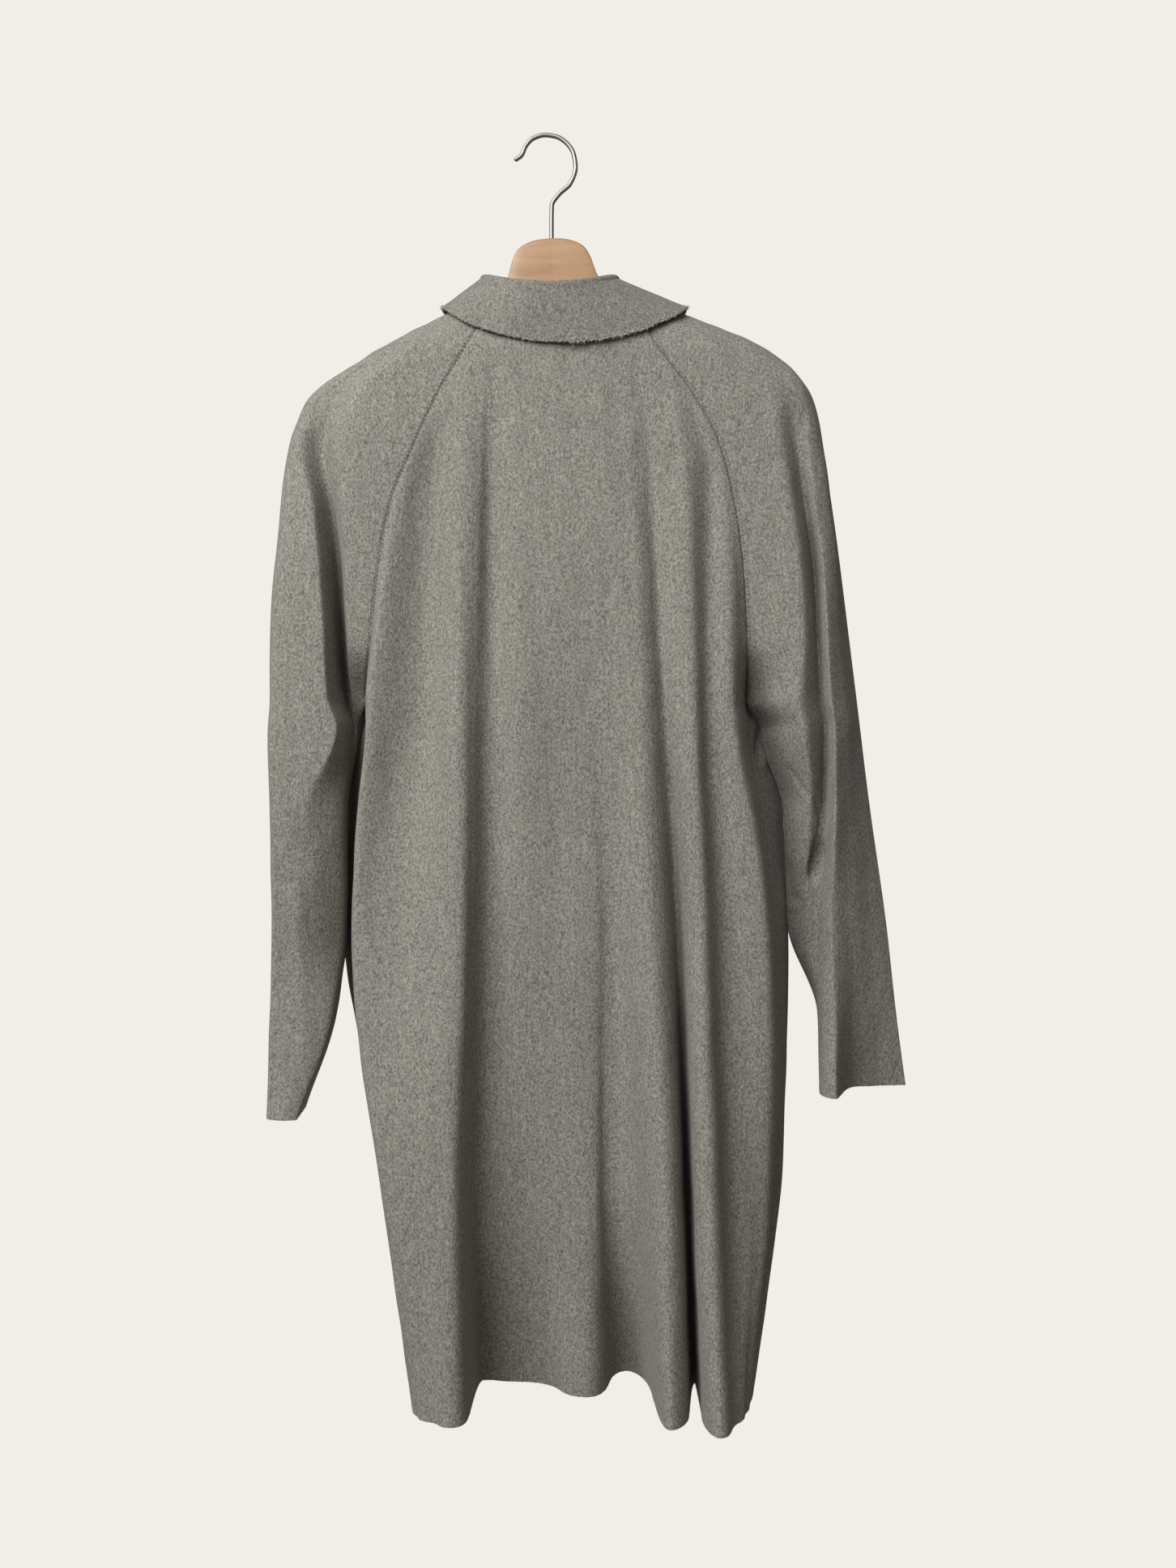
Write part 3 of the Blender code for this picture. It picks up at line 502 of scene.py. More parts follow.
# Stage: the backdrop's profile as radius and height, and where the camera and lights stand. A light's
# share is of the key light's power, and shines says whether it shows in reflections
BACKDROP_PROFILE = ((0.0, -1.8), (3.4, -1.8), (4.0, -1.6), (4.4, -1.0), (4.4, 2.8), (0.0, 3.6))
BACKDROP_STEPS = 64
CAMERA_PLACE = (0.0382, -1.25, -0.575)
CAMERA_LENS = 32.28
SENSOR = 36.0
LIGHT_TARGET = (0.03, 0.0, -0.5)
LightPlace = namedtuple("LightPlace", "name place size share shines")
LIGHTS = (
    LightPlace("key", (-1.3, -2.0, 1.15), 2.1, 1.0, True),
    LightPlace("front fill", (0.3, 2.7, 0.5), 1.6, 0.4, False),
)


def smooth_through(knots, values, places):
    """Values at the places on a curve through the knots that never swings past them."""
    knots = np.asarray(knots, float)
    values = np.asarray(values, float)
    step = np.diff(knots)
    slope = np.diff(values) / step
    tangent = np.zeros_like(values)
    tangent[0] = slope[0]
    tangent[-1] = slope[-1]
    for i in range(1, len(knots) - 1):
        if slope[i - 1] * slope[i] > 0:
            before = 2 * step[i] + step[i - 1]
            after = step[i] + 2 * step[i - 1]
            tangent[i] = (before + after) / (before / slope[i - 1] + after / slope[i])
    span = np.clip(np.searchsorted(knots, places, side="right") - 1, 0, len(step) - 1)
    share = np.clip((places - knots[span]) / step[span], 0.0, 1.0)
    rise = share * share * (3 - 2 * share)
    lead = share * (1 - share) ** 2 * step[span]
    trail = share * share * (share - 1) * step[span]
    return (
        values[span] * (1 - rise)
        + values[span + 1] * rise
        + tangent[span] * lead
        + tangent[span + 1] * trail
    )


def ring_point(ring, angle):
    """(x, drop, out) on a ring at an angle from the middle of the back, positive to the right."""
    facing = math.cos(angle)
    back = facing >= 0
    out = ring.back_out * facing**ring.flatness if back else ring.front_out * facing
    lowest = ring.back_drop if back else ring.front_drop
    power = ring.back_power if back else ring.front_power
    drop = ring.side_drop + (lowest - ring.side_drop) * abs(facing) ** power
    return ring.middle + ring.half_width * math.sin(angle), drop, out


class Line:
    """A line down a panel, from the neck edge to the hem or cuff, through (x, drop, out) points."""

    def __init__(self, points):
        self.x, self.drop, self.out = np.array(points, float).T

    def x_at(self, drop):
        return float(smooth_through(self.drop, self.x, np.array([drop]))[0])

    def at(self, steps, end):
        """Points at steps from 0 at the neck through 1 at the underarm to 2 at the end."""
        top = self.drop[0]
        upper = np.clip(steps, 0.0, 1.0) ** UPPER_CROWDING
        lower = np.clip(steps - 1.0, 0.0, 1.0) ** LOWER_CROWDING
        drops = top + (UNDERARM - top) * upper + (end - UNDERARM) * lower
        x = smooth_through(self.drop, self.x, drops)
        out = smooth_through(self.drop, self.out, drops)
        return np.stack([x, drops, out], axis=-1)


def sleeve_sections(side):
    return LEFT_SLEEVE if side < 0 else RIGHT_SLEEVE


def level_run(x, drop, out):
    """Two points that start a new stretch of seam, so that it doesn't depend on the one before."""
    return [(x, drop, out), (x, drop + SEAM_RUN, out)]


def raglan_points(side, facing):
    """The raglan seam from neck to underarm, on the back (facing 1) or the front (facing -1)."""
    angle = side * (BACK_RAGLAN_ANGLE if facing > 0 else FRONT_RAGLAN_ANGLE)
    points = [ring_point(COLLAR_FOOT, angle)]
    for row in sleeve_sections(side):
        if row.drop < UNDERARM:
            points.append((row.inner_x, row.drop, facing * row.inner_out))
        elif row.drop == UNDERARM:
            points += level_run(row.inner_x, row.drop - SEAM_RUN, facing * row.inner_out)
    return points


def body_seam(side, facing):
    """The raglan seam carried on down the side seam to the hem."""
    seam = []
    for row in SIDE_SEAMS:
        if side < 0:
            seam.append((row.left_x, row.drop, row.left_out))
        else:
            seam.append((row.right_x, row.drop, row.right_out))
    return Line(raglan_points(side, facing) + level_run(*seam[0]) + seam[1:])


def sleeve_seam(side, facing):
    """The raglan seam carried on down the underarm seam to the cuff."""
    rows = [row for row in sleeve_sections(side) if row.drop > UNDERARM]
    seam = [(row.inner_x, row.drop, row.inner_out) for row in rows]
    return Line(raglan_points(side, facing) + level_run(*seam[0]) + seam[1:])


def outer_edge(side):
    points = [ring_point(COLLAR_FOOT, side * math.pi / 2)]
    for row in OUTER_EDGES:
        if side < 0:
            points.append((row.left_x, row.drop, 0.0))
        else:
            points.append((row.right_x, row.drop, row.right_out))
    return Line(points)


def back_lines():
    """Lines of the back panel from its left seam to its right seam."""
    left = body_seam(-1, 1)
    right = body_seam(1, 1)
    count = len(BACK_FOLDS) + 1
    lines = [left]
    for i, fold in enumerate(BACK_FOLDS):
        angle = BACK_RAGLAN_ANGLE * (2 * (i + 1) / count - 1)
        share = (fold.x_yoke - left.x_at(YOKE)) / (right.x_at(YOKE) - left.x_at(YOKE))
        nape_x = left.x_at(NAPE) + share * (right.x_at(NAPE) - left.x_at(NAPE))
        nape = (nape_x, NAPE, NAPE_OUT + NAPE_RISE * 4 * share * (1 - share))
        measures = fold[Fold._fields.index("x_yoke") :]
        xs = measures[: len(BACK_LEVELS)]
        outs = measures[len(BACK_LEVELS) :]
        lines.append(Line([ring_point(COLLAR_FOOT, angle), nape, *zip(xs, BACK_LEVELS, outs)]))
    lines.append(right)
    return lines


def front_edge(side):
    _, drop, out = ring_point(COLLAR_FOOT, side * FRONT_EDGE_ANGLE)
    points = [(FRONT_MIDDLE_NECK + side * FRONT_GAP_NECK / 2, drop, out)]
    for level, depth in zip(FRONT_LEVELS, FRONT_EDGE_OUT):
        share = (level - drop) / (HEM - drop)
        middle = FRONT_MIDDLE_NECK + (FRONT_MIDDLE_HEM - FRONT_MIDDLE_NECK) * share
        gap = FRONT_GAP_NECK + (FRONT_GAP_HEM - FRONT_GAP_NECK) * share
        points.append((middle + side * gap / 2, level, -depth))
    return Line(points)


def front_lines(side):
    """Lines of one front panel from its side seam to its front edge."""
    seam = body_seam(side, -1)
    edge = front_edge(side)
    turn = LEFT_TURN if side < 0 else RIGHT_TURN
    count = len(FRONT_LEVELS)
    rows = [(turn[:count], turn[count:])]
    first_out = FrontFold._fields.index("out_yoke")
    rows += [((fold.share,) * count, fold[first_out:]) for fold in FRONT_FOLDS]
    lines = [seam]
    for shares, outs in rows:
        angle = FRONT_RAGLAN_ANGLE + (FRONT_EDGE_ANGLE - FRONT_RAGLAN_ANGLE) * shares[0]
        points = [ring_point(COLLAR_FOOT, side * angle)]
        for level, share, out in zip(FRONT_LEVELS, shares, outs):
            x = seam.x_at(level) + share * (edge.x_at(level) - seam.x_at(level))
            points.append((x, level, -out))
        lines.append(Line(points))
    lines.append(edge)
    return lines


def sleeve_line(side, share_of, out_of, neck_angle):
    """A line down a sleeve at a share of the way from its inner seam to its outer edge."""
    edge = outer_edge(side)
    points = [ring_point(COLLAR_FOOT, side * neck_angle)]
    for row in sleeve_sections(side):
        x = row.inner_x + share_of(row) * (edge.x_at(row.drop) - row.inner_x)
        points.append((x, row.drop, out_of(row)))
    return Line(points)


def lines_between(side, columns, from_angle, to_angle):
    """Lines down a sleeve between two of its edges, their tops spread evenly round the neck."""
    lines = []
    for i, (share_of, out_of) in enumerate(columns):
        angle = from_angle + (to_angle - from_angle) * (i + 1) / (len(columns) + 1)
        lines.append(sleeve_line(side, share_of, out_of, angle))
    return lines


def sleeve_back_lines(side):
    """Lines of a sleeve's back half from its inner seam to its outer edge."""
    columns = (
        (lambda row: row.flap, lambda row: row.flap_out),
        (lambda row: row.valley, lambda row: row.valley_out),
        (lambda row: row.ridge, lambda row: row.ridge_out),
        (lambda row: row.step, lambda row: row.step_out),
    )
    between = lines_between(side, columns, BACK_RAGLAN_ANGLE, math.pi / 2)
    return [sleeve_seam(side, 1), *between, outer_edge(side)]


def sleeve_front_lines(side):
    """Lines of a sleeve's front half from its outer edge to its inner seam."""
    columns = (
        (lambda row: FAR_SHARE, lambda row: -row.far_out),
        (lambda row: NEAR_SHARE, lambda row: -row.near_out),
    )
    between = lines_between(side, columns, math.pi / 2, FRONT_RAGLAN_ANGLE)
    return [outer_edge(side), *between, sleeve_seam(side, -1)]


def column_places(count, per_fold):
    """Places across count lines: per_fold columns from each line to the next, closer at both edges."""
    last = count - 1
    places = np.linspace(0, last, last * per_fold + 1)
    near = np.array(SEAM_COLUMNS)
    return np.unique(np.round(np.concatenate([places, near, last - near]), 6))


def across(lines, steps, end, per_fold, bends):
    """A grid of points: a row for each step, columns from the first line to the last, rounder at bends."""
    points = np.stack([line.at(steps, end) for line in lines], axis=1)
    count = len(lines)
    places = column_places(count, per_fold)
    span = np.minimum(places.astype(int), count - 2)
    share = places - span
    bends = np.asarray(bends if bends else np.zeros(count), float)
    one_side = (bends[span] - bends[span + 1]) / 2 * np.sin(math.pi * share) / math.pi
    both_sides = (bends[span] + bends[span + 1]) / 2 * np.sin(2 * math.pi * share) / (2 * math.pi)
    grid = np.empty((len(steps), len(places), 3))
    for i, row in enumerate(points):
        for axis in range(3):
            grid[i, :, axis] = smooth_through(np.arange(count), row[:, axis], places)
        low = np.clip((row[:, 1].mean() - YOKE) / (HEM - YOKE), 0.0, 1.0)
        width = np.diff(row[:, 0])[span]
        grid[i, :, 0] += FLUTE_FULLNESS * low * width * (one_side + both_sides)
    return grid


def to_world(points):
    """Metres from (x, drop, out) in millimetres, with the origin at the inside of the hook's crown."""
    x = points[..., 0] - CROWN_X
    y = -points[..., 2]
    z = CROWN_DROP - points[..., 1]
    return np.stack([x, y, z], axis=-1) * MM


def unit(vectors):
    return vectors / np.linalg.norm(vectors, axis=-1, keepdims=True)


def normals_of(grid):
    """Outward normals of a world grid whose rows run down and columns run right, seen from outside."""
    down = np.gradient(grid, axis=0)
    right = np.gradient(grid, axis=1)
    return unit(np.cross(down, right))


def run_along(points):
    """Distance from the first point along a line, or along each row of a grid."""
    step = np.linalg.norm(np.diff(points, axis=-2), axis=-1)
    start = np.zeros(step.shape[:-1] + (1,))
    return np.concatenate([start, np.cumsum(step, axis=-1)], axis=-1)


def spread_along(places, run, values):
    """Points or directions at places on a run, from their values at the run's own points."""
    return np.stack([np.interp(places, run, values[:, axis]) for axis in range(3)], axis=-1)


class Panel:
    """One cloth panel: its sections in millimetres, its outer face in world space and its normals."""

    def __init__(self, sections, raw_column):
        self.sections = sections
        self.raw_column = raw_column
        self.grid = to_world(sections)
        self.normals = normals_of(self.grid)
        run = run_along(self.grid) / MM
        self.from_first = run
        self.from_last = run[:, -1:] - run


def join_normals(panels, seam):
    """Gives both sides of a seam the same normal, so that their walls stand side by side."""
    first = panels[seam.first].normals
    second = panels[seam.second].normals
    shared = unit(first[seam.rows, seam.first_column] + second[seam.rows, seam.second_column])
    first[seam.rows, seam.first_column] = shared
    second[seam.rows, seam.second_column] = shared


def bare_panels():
    """Every panel before its creases, by node name."""
    upper = np.linspace(0.0, 1.0, UPPER_ROWS)
    lower = np.linspace(1.0, 2.0, LOWER_ROWS + 1)[1:]
    steps = np.concatenate([upper, lower])
    panels = {}

    def add(name, lines, end, per_fold, bends=None, raw_column=None):
        panels[name] = Panel(across(lines, steps, end, per_fold, bends), raw_column)

    bends = [1] + [fold.bend for fold in BACK_FOLDS] + [1]
    add("back", back_lines(), HEM, BACK_COLUMNS, bends)
    add("front_left", front_lines(-1)[::-1], HEM, FRONT_COLUMNS, raw_column=0)
    add("front_right", front_lines(1), HEM, FRONT_COLUMNS, raw_column=-1)
    add("sleeve_left_back", sleeve_back_lines(-1)[::-1], LEFT_CUFF, SLEEVE_COLUMNS)
    add("sleeve_left_front", sleeve_front_lines(-1)[::-1], LEFT_CUFF, SLEEVE_COLUMNS)
    add("sleeve_right_back", sleeve_back_lines(1), RIGHT_CUFF, SLEEVE_COLUMNS)
    add("sleeve_right_front", sleeve_front_lines(1), RIGHT_CUFF, SLEEVE_COLUMNS)

    for seam in SEAMS:
        join_normals(panels, seam)
    return panels


def crease_height(crease, sections):
    """How far a crease raises each point of a panel, in millimetres."""
    points = sections[..., :2]
    path = np.array(crease.path, float)
    lengths = np.linalg.norm(np.diff(path, axis=0), axis=1)
    whole = lengths.sum()
    nearest = np.full(points.shape[:-1], np.inf)
    along = np.zeros(points.shape[:-1])
    for i, length in enumerate(lengths):
        direction = (path[i + 1] - path[i]) / length
        reach = np.clip((points - path[i]) @ direction, 0.0, length)
        away = np.linalg.norm(points - path[i] - reach[..., None] * direction, axis=-1)
        closer = away < nearest
        nearest = np.where(closer, away, nearest)
        along = np.where(closer, (lengths[:i].sum() + reach) / whole, along)
    ends = np.clip(np.minimum(along, 1.0 - along) / crease.fade, 0.0, 1.0)
    taper = ends * ends * (3 - 2 * ends)
    return crease.depth * np.exp(-((nearest / crease.width) ** 2)) * taper


def uneven_height(sections, phase):
    """The slight unevenness of hanging cloth, in millimetres."""
    x = sections[..., 0] / UNEVEN_ACROSS
    drop = sections[..., 1] / UNEVEN_DOWN
    wander = SLOW_WANDER * np.sin(drop * SLOW_WANDER_RATE + phase)
    slow = np.sin(2 * math.pi * (x + wander) + phase)
    quick = np.sin(2 * math.pi * (QUICK_RATE * x - QUICK_SLANT * drop) + QUICK_PHASE * phase)
    drift = np.sin(2 * math.pi * drop * DRIFT_RATE + DRIFT_PHASE * phase)
    return UNEVEN_HEIGHT * (SLOW_SHARE * slow * drift + QUICK_SHARE * quick + DRIFT_SHARE * drift)


def outer_faces(cloth):
    """Each panel with its finished outer face, as (panel, world grid), by node name."""
    faces = {}
    for phase, (name, panel) in enumerate(bare_panels().items()):
        raised = uneven_height(panel.sections, phase)
        for crease in CREASES:
            if crease.panel == name:
                raised += crease_height(crease, panel.sections)
        raised *= cloth.crease_strength
        nearest = np.minimum(panel.from_first, panel.from_last)
        raised *= 1 - np.exp(-((nearest / CREASE_EDGE) ** 2))
        for column, distance in ((0, panel.from_first), (-1, panel.from_last)):
            if column != panel.raw_column:
                raised -= SEAM_ROLL_DEPTH * np.exp(-((distance / SEAM_ROLL_WIDTH) ** 2))
        outer = panel.grid + panel.normals * raised[..., None] * MM
        for column, neighbour in ((0, 1), (-1, -2)):
            along = unit(np.gradient(panel.grid[:, column], axis=0))
            inwards = panel.grid[:, neighbour] - panel.grid[:, column]
            inwards -= along * (inwards * along).sum(axis=-1, keepdims=True)
            outer[:, column] += unit(inwards) * cloth.seam_gap / 2
        faces[name] = (panel, outer)
    return faces


def collar_grid():
    """Middle face of the collar: a row for each step over the fold, a column for each round the neck."""
    up = np.array([0.0, -1.0, 0.0])
    grid = []
    for share in np.linspace(-1.0, 1.0, COLLAR_COLUMNS + 1):
        foot = np.array(ring_point(COLLAR_FOOT, share * COLLAR_FOOT.end_angle))
        fold = np.array(ring_point(COLLAR_FOLD, share * COLLAR_FOLD.end_angle))
        edge = np.array(ring_point(COLLAR_EDGE, share * COLLAR_EDGE.end_angle))
        foot[1] -= COLLAR_LIFT
        away = edge - fold
        away[1] = 0.0
        away = away / np.linalg.norm(away)
        centre = fold - up * COLLAR_FOLD_RADIUS
        turn = np.linspace(math.pi, 0.0, COLLAR_FOLD_STEPS + 1)
        bend = [centre + COLLAR_FOLD_RADIUS * (math.cos(a) * away + math.sin(a) * up) for a in turn]
        stand = [foot + (bend[0] - foot) * s for s in np.linspace(0, 1, COLLAR_STAND_STEPS + 1)[:-1]]
        ripple = COLLAR_RIPPLE * math.sin(COLLAR_RIPPLE_RATE * share + COLLAR_RIPPLE_START)
        wave = COLLAR_WAVE * (math.sin(COLLAR_WAVE_RATE * share) + ripple)
        fall = []
        for s in np.linspace(0, 1, COLLAR_FALL_STEPS + 1)[1:]:
            belly = COLLAR_BELLY * math.sin(math.pi * s) + wave * s * s
            fall.append(bend[-1] + (edge - bend[-1]) * s + away * belly)
        grid.append(stand + bend + fall)
    return to_world(np.array(grid).transpose(1, 0, 2))


def wall_mesh(outer, inner):
    """Vertices and faces of a closed wall between two grids of the same shape."""
    rows, columns = outer.shape[:2]
    vertices = np.concatenate([outer.reshape(-1, 3), inner.reshape(-1, 3)])
    layer = rows * columns
    index = np.arange(layer).reshape(rows, columns)
    back = index + layer
    front = np.stack([index[:-1, :-1], index[1:, :-1], index[1:, 1:], index[:-1, 1:]], axis=-1)
    behind = np.stack([back[:-1, :-1], back[:-1, 1:], back[1:, 1:], back[1:, :-1]], axis=-1)
    around = np.concatenate([index[0, :-1], index[:-1, -1], index[-1, :0:-1], index[:0:-1, 0]])
    following = np.roll(around, -1)
    rim = np.stack([around, following, following + layer, around + layer], axis=-1)
    faces = np.concatenate([front.reshape(-1, 4), behind.reshape(-1, 4), rim])
    return vertices, faces


def tube_mesh(paths, radii, sides):
    """Vertices and faces of closed round threads along paths of equal length, tapered by radii."""
    paths = np.asarray(paths, float)
    count, steps = paths.shape[:2]
    along = unit(np.gradient(paths, axis=1))
    helper = np.where(np.abs(along[..., 2:]) < UPRIGHT, [0.0, 0.0, 1.0], [1.0, 0.0, 0.0])
    first = unit(np.cross(along, helper))
    second = np.cross(along, first)
    angles = np.linspace(0.0, 2 * math.pi, sides, endpoint=False)
    spokes = first[:, :, None] * np.cos(angles)[:, None] + second[:, :, None] * np.sin(angles)[:, None]
    vertices = paths[:, :, None] + spokes * np.asarray(radii)[None, :, None, None]
    ring = np.arange(sides)
    following = np.roll(ring, -1)
    lower = np.arange(steps - 1)[:, None] * sides
    strip = np.stack(
        [lower + ring, lower + following, lower + sides + following, lower + sides + ring], axis=-1
    )
    strip = strip.reshape(-1, 4)
    starts = np.arange(count)[:, None, None] * steps * sides
    faces = (strip[None] + starts).reshape(-1, 4).tolist()
    for start in range(0, count * steps * sides, steps * sides):
        faces.append([start + i for i in range(sides - 1, -1, -1)])
        faces.append([start + (steps - 1) * sides + i for i in range(sides)])
    return vertices.reshape(-1, 3), faces


def add_piece(name, vertices, faces, material, replaced=None):
    """Links a smooth mesh piece that rides with the coat and stands for a CAD node, if one is given."""
    mesh = bpy.data.meshes.new(name)
    mesh.from_pydata(np.asarray(vertices).tolist(), [], [list(face) for face in faces])
    mesh.shade_smooth()
    mesh.set_sharp_from_angle(angle=SHARP_ANGLE)
    mesh.materials.append(material)
    piece = bpy.data.objects.new(name, mesh)
    bpy.context.scene.collection.objects.link(piece)
    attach(piece, BODY)
    if replaced:
        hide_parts(replaced)
    return piece


def add_sheet(node, vertices, faces, material):
    """A cloth piece that stands for a node."""
    piece = add_piece(node + "_cloth", vertices, faces, material, node)


def add_panels(context, names):
    cloth = context.scene.coat_cloth
    material = wool_material(cloth)
    faces = outer_faces(cloth)
    for name in names:
        panel, outer = faces[name]
        inner = outer - panel.normals * cloth.thickness
        add_sheet(name, *wall_mesh(outer, inner), material)


def stitch_paths(panel, outer, row, cloth):
    """Centre lines of one row of stitches down a raglan seam."""
    distance = panel.from_first if row.column == 0 else panel.from_last
    line = []
    facing = []
    for i in range(UPPER_ROWS):
        order = np.argsort(distance[i])
        reach = distance[i][order]
        line.append(spread_along(STITCH_INSET, reach, outer[i, order]))
        facing.append(spread_along(STITCH_INSET, reach, panel.normals[i, order]))
    line = np.array(line)
    facing = np.array(facing)
    run = run_along(line)
    pitch = cloth.stitch_length + cloth.stitch_gap
    rise = np.sin(np.linspace(0.0, math.pi, THREAD_STEPS))
    lift = (STITCH_ARCH + STITCH_SINK) * rise - STITCH_SINK
    paths = []
    for start in np.arange(0.0, run[-1] - pitch, pitch):
        places = np.linspace(start, start + cloth.stitch_length, THREAD_STEPS)
        middle = spread_along(places, run, line)
        normal = spread_along(places, run, facing)
        paths.append(middle + normal * lift[:, None] * MM)
    return paths


def edge_fibres(edge, hang, facing, spacing, lengths, chance):
    """Centre lines of fibres along a raw edge: edge points, the way they hang and the face's normals."""
    run = run_along(edge)
    places = np.arange(0.0, run[-1], spacing * MM)
    count = len(places)
    places = places + chance.uniform(-FIBRE_STRAY, FIBRE_STRAY, count) * spacing * MM
    along = spread_along(places, run, unit(np.gradient(edge, axis=0)))
    start = spread_along(places, run, edge)
    face = spread_along(places, run, facing)
    sideways = chance.normal(0.0, FIBRE_SIDEWAYS, count)[:, None] * along
    outwards = chance.normal(FIBRE_OUTWARDS, FIBRE_OUTWARDS_SPREAD, count)[:, None] * face
    direction = unit(unit(spread_along(places, run, hang)) + sideways + outwards)
    curl = chance.normal(0.0, FIBRE_CURL, (count, 3))
    depth = chance.uniform(0.0, FIBRE_DEPTH, count)[:, None]
    root = start - face * depth * MM - direction * FIBRE_ROOT * MM
    length = np.interp(places, run, lengths) * chance.uniform(FIBRE_SHORTEST, 1.0, count) ** FIBRE_SHORTNESS
    shares = np.linspace(0.0, 1.0, FIBRE_STEPS + 1)[None, :, None]
    reach = (length + FIBRE_STUB)[:, None, None] * MM
    return root[:, None] + reach * (direction[:, None] * shares + curl[:, None] * shares * shares)


def tapered(radius):
    """Radii along a fibre that thins towards its tip."""
    return radius * MM * np.linspace(1.0, FIBRE_TIP, FIBRE_STEPS + 1)


def collar_fibres(cloth, chance):
    """Centre lines of the fibres along the collar's edge, longer in its tufts."""
    middle = collar_grid()
    facing = normals_of(middle)
    outer = middle + facing * cloth.thickness / 2
    hang = middle[-1] - middle[-2]
    fibres = []
    for row in COLLAR_FRAY:
        edge = outer[-1 - row.row]
        lengths = np.full(len(edge), row.share)
        behind = edge[:, 1] < 0
        for tuft in TUFTS:
            away = (edge[:, 0] / MM + CROWN_X - tuft.x) / tuft.spread
            lengths += tuft.more * row.share * np.exp(-(away**2)) * behind
        lengths *= cloth.fray_length / MM
        fibres.append(edge_fibres(edge, hang, facing[-1 - row.row], row.spacing, lengths, chance))
    return np.concatenate(fibres)


def hem_fibres(cloth, chance):
    """Centre lines of the fibres along the hem and both cuffs."""
    faces = outer_faces(cloth)
    fibres = []
    for row in FRAY_EDGES:
        panel, outer = faces[row.panel]
        hang = outer[-1] - outer[-2]
        lengths = np.full(outer.shape[1], cloth.fray_length / MM * FRAY_SHARE)
        fibres.append(edge_fibres(outer[-1], hang, panel.normals[-1], row.spacing, lengths, chance))
    return np.concatenate(fibres)


def add_fibres(name, fibres, radius, material):
    vertices, faces = tube_mesh(fibres, tapered(radius), FIBRE_SIDES)
    add_piece(name, vertices, faces, material)


def arm_ring(x, top, bottom, side):
    """A rounded upright section of a hanger arm, tilted with the hanger."""
    half_thick = ARM_THICK / 2 - ARM_ROUNDING
    corners = (
        (half_thick, top + ARM_ROUNDING, 0),
        (-half_thick, top + ARM_ROUNDING, 1),
        (-half_thick, bottom - ARM_ROUNDING, 2),
        (half_thick, bottom - ARM_ROUNDING, 3),
    )
    ring = []
    for out, drop, quarter in corners:
        for angle in np.linspace(quarter, quarter + 1, ARM_CORNER_STEPS + 1) * math.pi / 2:
            rise = ARM_ROUNDING * math.sin(angle)
            reach = ARM_ROUNDING * math.cos(angle)
            ring.append((side * x, drop - rise, out + reach))
    ring = np.array(ring)
    below = ring[:, 1] - HANGER_TILT_DROP
    across_x = ring[:, 0].copy()
    ring[:, 0] = across_x * math.cos(HANGER_TILT) + below * math.sin(HANGER_TILT)
    ring[:, 1] = HANGER_TILT_DROP + below * math.cos(HANGER_TILT) - across_x * math.sin(HANGER_TILT)
    return to_world(ring)


def loft_faces(rings, count):
    """Faces from each ring to the next, for so many rings of count points each."""
    faces = []
    for low in range(0, (rings - 1) * count, count):
        high = low + count
        for j in range(count):
            k = (j + 1) % count
            faces.append((low + j, low + k, high + k, high + j))
    return faces


def closed_loft(rings):
    """Vertices and faces of a solid lofted through rings of equal length, closed by flat ends."""
    count = len(rings[0])
    faces = loft_faces(len(rings), count)
    last = (len(rings) - 1) * count
    faces.append(tuple(range(count - 1, -1, -1)))
    faces.append(tuple(range(last, last + count)))
    return np.concatenate(rings), faces


def hook_rings():
    """Rings of the hook's wire along its path, rounded off at the tip."""
    points = np.array(HOOK_PATH)
    lengths = run_along(points)
    end = lengths[-1]
    tip = end - WIRE_RADIUS * (1 - np.sin(np.linspace(0.0, math.pi / 2, TIP_STEPS + 1)))[:-1]
    places = np.concatenate([np.linspace(0.0, end - WIRE_RADIUS, WIRE_STEPS)[:-1], tip])
    path = np.stack([smooth_through(lengths, points[:, axis], places) for axis in range(2)], axis=1)
    along = unit(np.gradient(path, places, axis=0))
    into_tip = np.clip((places - (end - WIRE_RADIUS)) / WIRE_RADIUS, 0.0, 1.0)
    radii = WIRE_RADIUS * np.sqrt(1 - into_tip**2)
    angles = np.linspace(0.0, 2 * math.pi, WIRE_SIDES, endpoint=False)
    rings = []
    for centre, direction, radius in zip(path, along, radii):
        sideways = np.array([-direction[1], direction[0]])
        ring = []
        for angle in angles:
            flat = centre + radius * math.cos(angle) * sideways
            ring.append((flat[0], flat[1], radius * math.sin(angle)))
        rings.append(to_world(np.array(ring)))
    return rings


